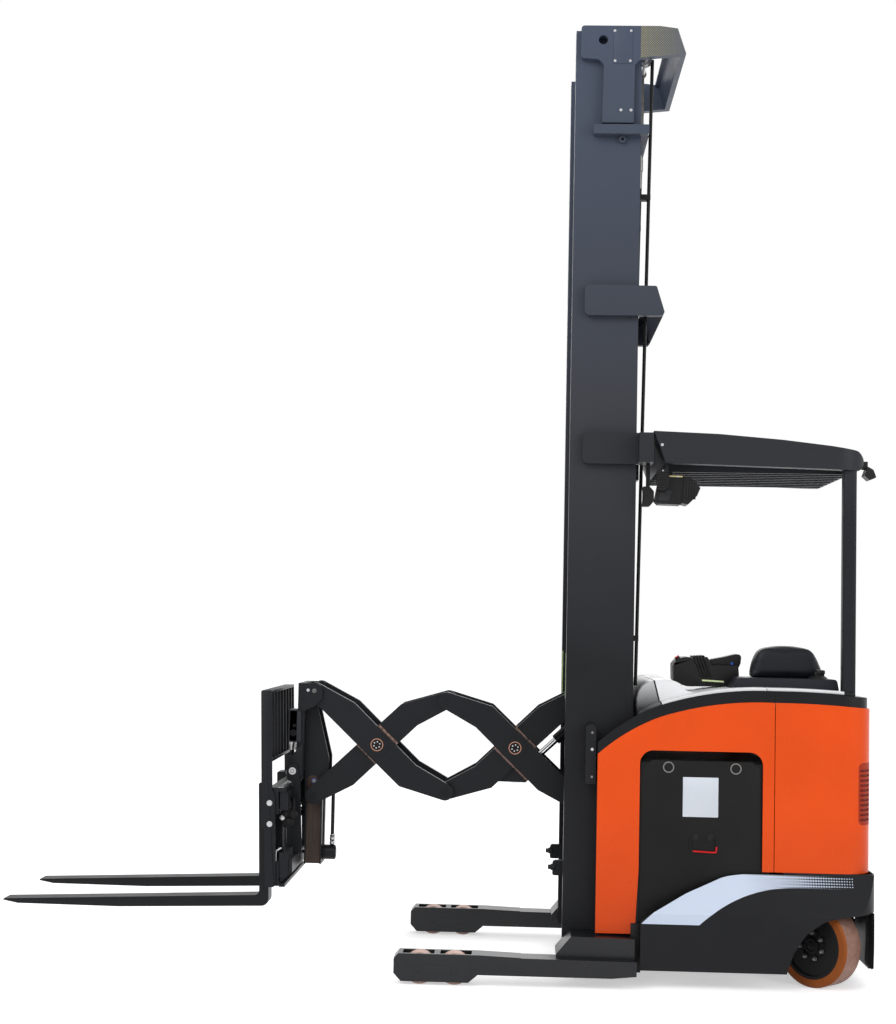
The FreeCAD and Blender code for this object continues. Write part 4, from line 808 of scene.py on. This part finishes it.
def body_line(x):
    """Height of the painted panels' top edge, three arcs one behind the other."""
    (ax, az), (bx, bz), (cx, cz) = next(arc for arc in BODY_LINE if x <= arc[2][0])
    d = 2 * (ax * (bz - cz) + bx * (cz - az) + cx * (az - bz))
    a, b, c = ax * ax + az * az, bx * bx + bz * bz, cx * cx + cz * cz
    mx = (a * (bz - cz) + b * (cz - az) + c * (az - bz)) / d
    mz = (a * (cx - bx) + b * (ax - cx) + c * (bx - ax)) / d
    return mz + math.sqrt((ax - mx) ** 2 + (az - mz) ** 2 - (x - mx) ** 2)


def strip_over(x0, x1, low, high):
    """Outline of a strip that follows the body line between two heights above it."""
    places = [x0 + (x1 - x0) * i / 24 for i in range(25)]
    return [(x, body_line(x) + low) for x in places] + [(x, body_line(x) + high) for x in reversed(places)]


TRIM = 48.0
LIP_OUT, LIP_IN = 514.5, 431.0
crown_line = [(x, body_line(x) + TRIM + 9) for x in range(1028, 760, -24)]
crown = plate("hood_crown", [(501, 1030), (1028, 1130)] + crown_line
              + [(738, 1192), (712, 1197), (694, 1208), (678, 1224), (660, 1236), (640, 1243), (605, 1244),
                 (570, 1239), (545, 1231), (524, 1215), (509, 1192), (501, 1160)], -430.5, 430.5, "truck",
              hood_grey, bevel=7.0, segments=4)
lip = plate("hood_lip", strip_over(501, 1028, TRIM - 16, TRIM + 12), -LIP_OUT, -LIP_IN, "truck", hood_grey,
            bevel=6.0, segments=3)
far_lip = mirrored(lip, "hood_lip_far", "truck")
hood_shell = joined("hood_shell", [crown, lip, far_lip], "truck")
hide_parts("hood")
plate("tower_lip", strip_over(1029, 1392, TRIM - 3.5, TRIM + 12), -LIP_OUT, -LIP_IN, "truck", hood_grey,
      bevel=5.0, segments=3)

# control console: shell, ridged boot, base, grip, buttons and blank light strip
shell = plate("console_shell", [(670, 1232), (668, 1296), (671, 1309), (687, 1327), (716, 1337), (746, 1335),
                                (786, 1262), (800, 1216), (722, 1210), (684, 1230)], -229, -61, "truck",
              black_plastic, corner=9.0, bevel=14.0, segments=4, smooth=60.0)
core = plate("boot_core", [(742, 1332), (814, 1338), (856, 1258), (780, 1240)], -224, -66, "truck", rubber,
             corner=4.0, bevel=8.0)
base = plate("console_base", [(730, 1210), (776, 1284), (838, 1303), (946, 1303), (950, 1257), (905, 1214)],
             -225, -65, "truck", black_plastic, corner=8.0, bevel=8.0, segments=3)
console = joined("console_pod", [shell, core, base], "truck")
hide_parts("console")
for i in range(4):
    top, foot = 757 + 13 * i, 790 + 13 * i
    plate(f"boot_ridge_{i}", [(top - 4, 1340 + i), (top + 3, 1342 + i), (foot + 4, 1252), (foot - 3, 1250)],
          -234, -56, "truck", rubber, corner=2.5, bevel=2.2)
plate("grip_shell", [(822, 1298), (824, 1326), (884, 1338), (938, 1352), (957, 1351), (963, 1338),
                     (957, 1304), (942, 1291), (910, 1290), (873, 1302)], -190, -102, "truck", black_plastic,
      corner=7.0, bevel=13.0, segments=4, smooth=60.0)
button = lathed("button_model", None, "-y", 13.0, 4.0,
                [("inset", 2.0), ("paint", 1), ("rise", 6.0), ("inset", -3.0), ("rise", 4.0),
                 ("inset", 4.0)], [black_plastic, red_plastic], sides=28, bevel=0.8)
repeated(button, "stop_button", [put(690, -200, 1326) @ Matrix.Rotation(math.radians(-34), 4, "Y")
                                 @ Matrix.Rotation(math.radians(-90), 4, "X")], "truck")
lathed("thumb_button", (922, -190, 1311), "-y", 8.0, 1.4, [("inset", 1.6), ("paint", 1), ("rise", 2.0),
       ("inset", 1.6)], [black_plastic, blue_plastic], sides=24, bevel=0.5, body="truck")
plate("console_light_strip", [(791, 1234), (884, 1230), (884, 1237), (791, 1241)], -229.4, -224.5, "truck",
      strip_lamp, corner=1.2, bevel=0.3)
plate("pad_release_knob", [(1241, 1262), (1284, 1262), (1284, 1291), (1241, 1291)], -400, -372, "truck",
      black_plastic, corner=12.0, bevel=8.0, segments=4, smooth=60.0)

# lamps
lathed("front_lamp_lens", (512.5, -430, 2008), "-x", 37.0, 2.0,
       [("inset", 4.0), ("paint", 1), ("rise", 1.5), ("inset", 8.0), ("rise", 1.0)],
       [black_plastic, lens_white], sides=36, bevel=0.6, body="truck")
fin = plate("fin_model", [(-24, -2.2), (22, -2.2), (22, 2.2), (-24, 2.2)], 0, 4, "truck", black_plastic,
            bevel=1.0)
fin.data.transform(Matrix.Translation(-at(0, 0, 0)))
repeated(fin, "oval_lamp_fins", [put(592, -511.5, 2046 + 10.5 * i) for i in range(7)], "truck")
rib = plate("rib_model", [(-4, -40), (4, -40), (10, 38), (2, 40)], 0, 5, "truck", black_plastic, bevel=1.2)
rib.data.transform(Matrix.Translation(-at(0, 0, 0)))
repeated(rib, "lamp_head_ribs", [put(694 + 11 * i, -462.5, 2038) for i in range(4)], "truck")
plate("lamp_bar", [(578, 2092), (676, 2090), (676, 2097), (578, 2099)], -462, -448, "truck", bar_brass,
      bevel=1.0)
plate("lamp_window", [(578, 1992), (622, 1992), (632, 2036), (586, 2036)], -451.5, -449.5, "truck",
      lens_dark, corner=4.0, bevel=0.6)
repeated(cap_bolt(3.6, zinc, 2.5), "lamp_screws",
         [put(x, -462.4, z) for x, z in ((584, 2095), (612, 2094), (656, 2093))]
         + [put(590, -508.4, 2112)], "truck")

# tail and skirt
for side, tag in ((-1, "near"), (1, "far")):
    screen = started("vent_screen_" + tag, "cylinder", vertices=96, radius=103.4 * MM, depth=252 * MM,
                     end_fill_type="NOTHING", location=at(1355, side * 420, 794))
    bpy.ops.object.transform_apply(location=True, rotation=True, scale=True)
    bpy.ops.object.mode_set(mode="EDIT")
    choose(screen, lambda face: face.calc_center_median().x < at(1406, 0, 0).x
           or abs(face.calc_center_median().y) < 0.441)
    bpy.ops.mesh.delete(type="FACE")
    bpy.ops.object.mode_set(mode="OBJECT")
    wall = screen.modifiers.new("wall", "SOLIDIFY")
    wall.thickness = 1.0 * MM
    wall.offset = -1.0
    bpy.ops.object.modifier_apply(modifier="wall")
    finished(screen, "truck", screen_red)
plate("rear_flap", [(1454, 318), (1465, 318), (1465, 190), (1463, 98), (1453, 94), (1450, 110), (1454, 190)],
      -560, -430, "truck", matt_rubber, corner=2.0, bevel=1.0)
seal = plate("skirt_seal", [(480, 52), (522, 52), (522, 250), (480, 250)], -540, -450, "truck", rubber,
             bevel=2.0)
mirrored(seal, "skirt_seal_far", "truck")

# drive wheel
NUTS, NUT_R, FIRST_NUT, HUB_FACE = 7, 54, 32.6, -67.0
wheel_turn = put(WHEEL_X, WHEEL_Y, 0) @ Matrix.Rotation(-STEER, 4, "Z")
nut = lathed("nut_model", None, "-y", 10.5, 2.0, by_turns(1.6, 8.0, 2.0, 1.5, 1.5, 3.5), [dark_steel],
             sides=6, bevel=0.8)
wheel_places = []
for i in range(NUTS):
    a = math.radians(i * 360 / NUTS + FIRST_NUT)
    place = Vector((NUT_R * math.cos(a), HUB_FACE + 7.0, WHEEL_R + NUT_R * math.sin(a))) * MM
    wheel_places.append(wheel_turn @ Matrix.Translation(place))
repeated(nut, "wheel_nuts", wheel_places, "drive_wheel")
boss = lathed("boss_model", None, "-y", 34.0, 3.0, by_turns(4.0, 5.0, 8.0, -3.0, 4.0, 1.5), [cast_black],
              sides=36, bevel=1.0)
repeated(boss, "wheel_boss", [wheel_turn @ Matrix.Translation(Vector((0, HUB_FACE + 10.0, WHEEL_R)) * MM)],
         "drive_wheel")

# operator's place
stud = lathed("stud_model", None, "+z", 9.0, 1.2, by_turns(1.5, 1.0, 2.0), [rubber], sides=10)
PITCH, MAT_X, MAT_Y = 34, 1080, -110
stud_places = []
for i in range(10):
    for j in range(16):
        x, y = MAT_X + PITCH * i, MAT_Y + PITCH * j
        if not (1086 < x < 1240 and 100 < y < 280):
            stud_places.append(put(x, y, 243))
repeated(stud, "mat_studs", stud_places, "truck")
tread = plate("pedal_model", [(0, 0), (100, 0), (100, 2.5), (0, 2.5)], -4, 4, "truck", steel, bevel=0.8)
tread.data.transform(Matrix.Translation(-at(0, 0, 0)))
repeated(tread, "pedal_ribs", [put(1125, 140 + 22 * i, 265) for i in range(6)], "truck")
bent_rod("grab_bar", [(1130, -156, 760), (1130, -118, 760), (1132, -112, 790), (1132, -112, 1010),
                      (1130, -118, 1040), (1130, -156, 1040)], 10.0, "truck", charcoal)


def cut_from(name, node, low, high):
    """Copy of the faces of a node whose middles lie between two heights."""
    piece = nodes[node].copy()
    piece.data = nodes[node].data.copy()
    for key in list(piece.keys()):
        del piece[key]
    piece.name = name
    piece.data.name = name
    bpy.context.scene.collection.objects.link(piece)
    alone(piece)
    bpy.ops.object.mode_set(mode="EDIT")
    bpy.ops.mesh.select_all(action="SELECT")
    bpy.ops.mesh.remove_doubles(threshold=0.0001)
    choose(piece, lambda face: not low < face.calc_center_median().z < high)
    bpy.ops.mesh.delete(type="FACE")
    bpy.ops.object.mode_set(mode="OBJECT")
    return piece


VOXEL, PRESSURE, CLOTH_STEPS = 0.007, 4.0, 20


def cushion(name, node, low, high, shrink, cap, material):
    """Padded copy of the part of a node between two heights: shrunk, remeshed and blown up as cloth."""
    pad = cut_from(name, node, low, high)
    middle = sum((vert.co for vert in pad.data.vertices), Vector()) / len(pad.data.vertices)
    middle.z = min(vert.co.z for vert in pad.data.vertices) + 0.006
    pad.data.transform(Matrix.Translation(middle) @ Matrix.Diagonal((*shrink, 1.0))
                       @ Matrix.Translation(-middle))
    grid = pad.modifiers.new("grid", "REMESH")
    grid.mode = "VOXEL"
    grid.voxel_size = VOXEL
    bpy.ops.object.modifier_apply(modifier="grid")
    rest = [vert.co.copy() for vert in pad.data.vertices]
    cloth = pad.modifiers.new("cloth", "CLOTH")
    cloth.settings.use_pressure = True
    cloth.settings.uniform_pressure_force = PRESSURE
    cloth.settings.effector_weights.gravity = 0.0
    scene = bpy.context.scene
    for step in range(1, CLOTH_STEPS + 1):
        scene.frame_set(step)
    bpy.ops.object.modifier_apply(modifier="cloth")
    scene.frame_set(1)
    for vert, was in zip(pad.data.vertices, rest):
        moved = vert.co - was
        if moved.length > cap:
            vert.co = was + moved * (cap / moved.length)
    smooth = pad.modifiers.new("smooth", "SMOOTH")
    smooth.iterations = 6
    bpy.ops.object.modifier_apply(modifier="smooth")
    finer = pad.modifiers.new("finer", "SUBSURF")
    finer.levels = finer.render_levels = 1
    bpy.ops.object.modifier_apply(modifier="finer")
    finished(pad, "truck", material, smooth=60.0)
    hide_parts(node)


cushion("back_cushion", "back_pad", 0.0, 3.0, (0.975, 0.88, 0.96), 0.008, vinyl)
deck = finished(cut_from("deck_mat_and_pedal", "deck_mats", 0.0, 0.4), "truck", rubber, bevel=1.2)
cushion("knee_cushion", "deck_mats", 0.4, 3.0, (0.82, 0.95, 0.96), 0.006, vinyl)
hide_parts("deck_mats")

# studio
floor_finish = Finish("studio_floor", (0.86, 0.86, 0.87), 0.7)
floor_finish.set("Emission Color", floor_finish.mix(floor_finish.seen(), (0.0, 0.0, 0.0), (0.50, 0.50, 0.50)))
floor_finish.set("Emission Strength", 1.0)
floor = started("studio_floor", "plane", size=120.0, location=(0, 0, -0.0005))
bpy.ops.object.transform_apply(location=True, rotation=False, scale=False)
floor.data.materials.append(floor_finish.material)


def area_light(name, place, aim, size, power):
    """Square or oblong lamp at a place, facing another, all in metres and watts."""
    data = bpy.data.lights.new(name, "AREA")
    data.shape = "RECTANGLE"
    data.size, data.size_y = size
    data.energy = power
    lamp = bpy.data.objects.new(name, data)
    lamp.location = place
    lamp.rotation_euler = (Vector(aim) - Vector(place)).to_track_quat("-Z", "Y").to_euler()
    bpy.context.scene.collection.objects.link(lamp)


area_light("key", (-3.5, -6.5, 6.0), (0.3, 0.0, 1.4), (4.5, 4.5), 300.0)
area_light("fill", (5.5, -4.5, 3.5), (0.5, 0.0, 1.2), (4.0, 4.0), 120.0)
area_light("back", (2.0, 6.5, 5.0), (0.3, 0.0, 1.8), (5.0, 4.0), 160.0)
world = bpy.data.worlds.new("studio")
world.use_nodes = True
bpy.context.scene.world = world
background = world.node_tree.nodes["Background"]
level = Tree(world.node_tree).seen() * 0.4 + 0.6
world.node_tree.links.new(level.socket, background.inputs["Strength"])
background.inputs["Color"].default_value = (1.0, 1.0, 1.0, 1.0)
bpy.context.scene.view_settings.view_transform = "Standard"

# camera at the photograph's place
CAMERA_PLACE = (-7.006, -8014.956, 1463.495)
yaw, pitch, roll = -0.039423, 0.061213, 0.020476
SENSOR, FOCAL_PIXELS, PICTURE_HEIGHT = 36.0, 1800.0, 1024.0
ahead = Vector((math.sin(yaw) * math.cos(pitch), math.cos(yaw) * math.cos(pitch), math.sin(pitch)))
right = Vector((math.cos(yaw), -math.sin(yaw), 0.0))
up = right.cross(ahead)
right_rolled = right * math.cos(roll) + up * math.sin(roll)
up_rolled = up * math.cos(roll) - right * math.sin(roll)
camera_data = bpy.data.cameras.new("camera")
camera_data.sensor_fit = "VERTICAL"
camera_data.sensor_height = SENSOR
camera_data.lens = SENSOR * FOCAL_PIXELS / PICTURE_HEIGHT
camera = bpy.data.objects.new("camera", camera_data)
bpy.context.scene.collection.objects.link(camera)
pose = Matrix((right_rolled, up_rolled, -ahead)).transposed().to_4x4()
pose.translation = at(*CAMERA_PLACE)
camera.matrix_world = pose
bpy.context.scene.camera = camera
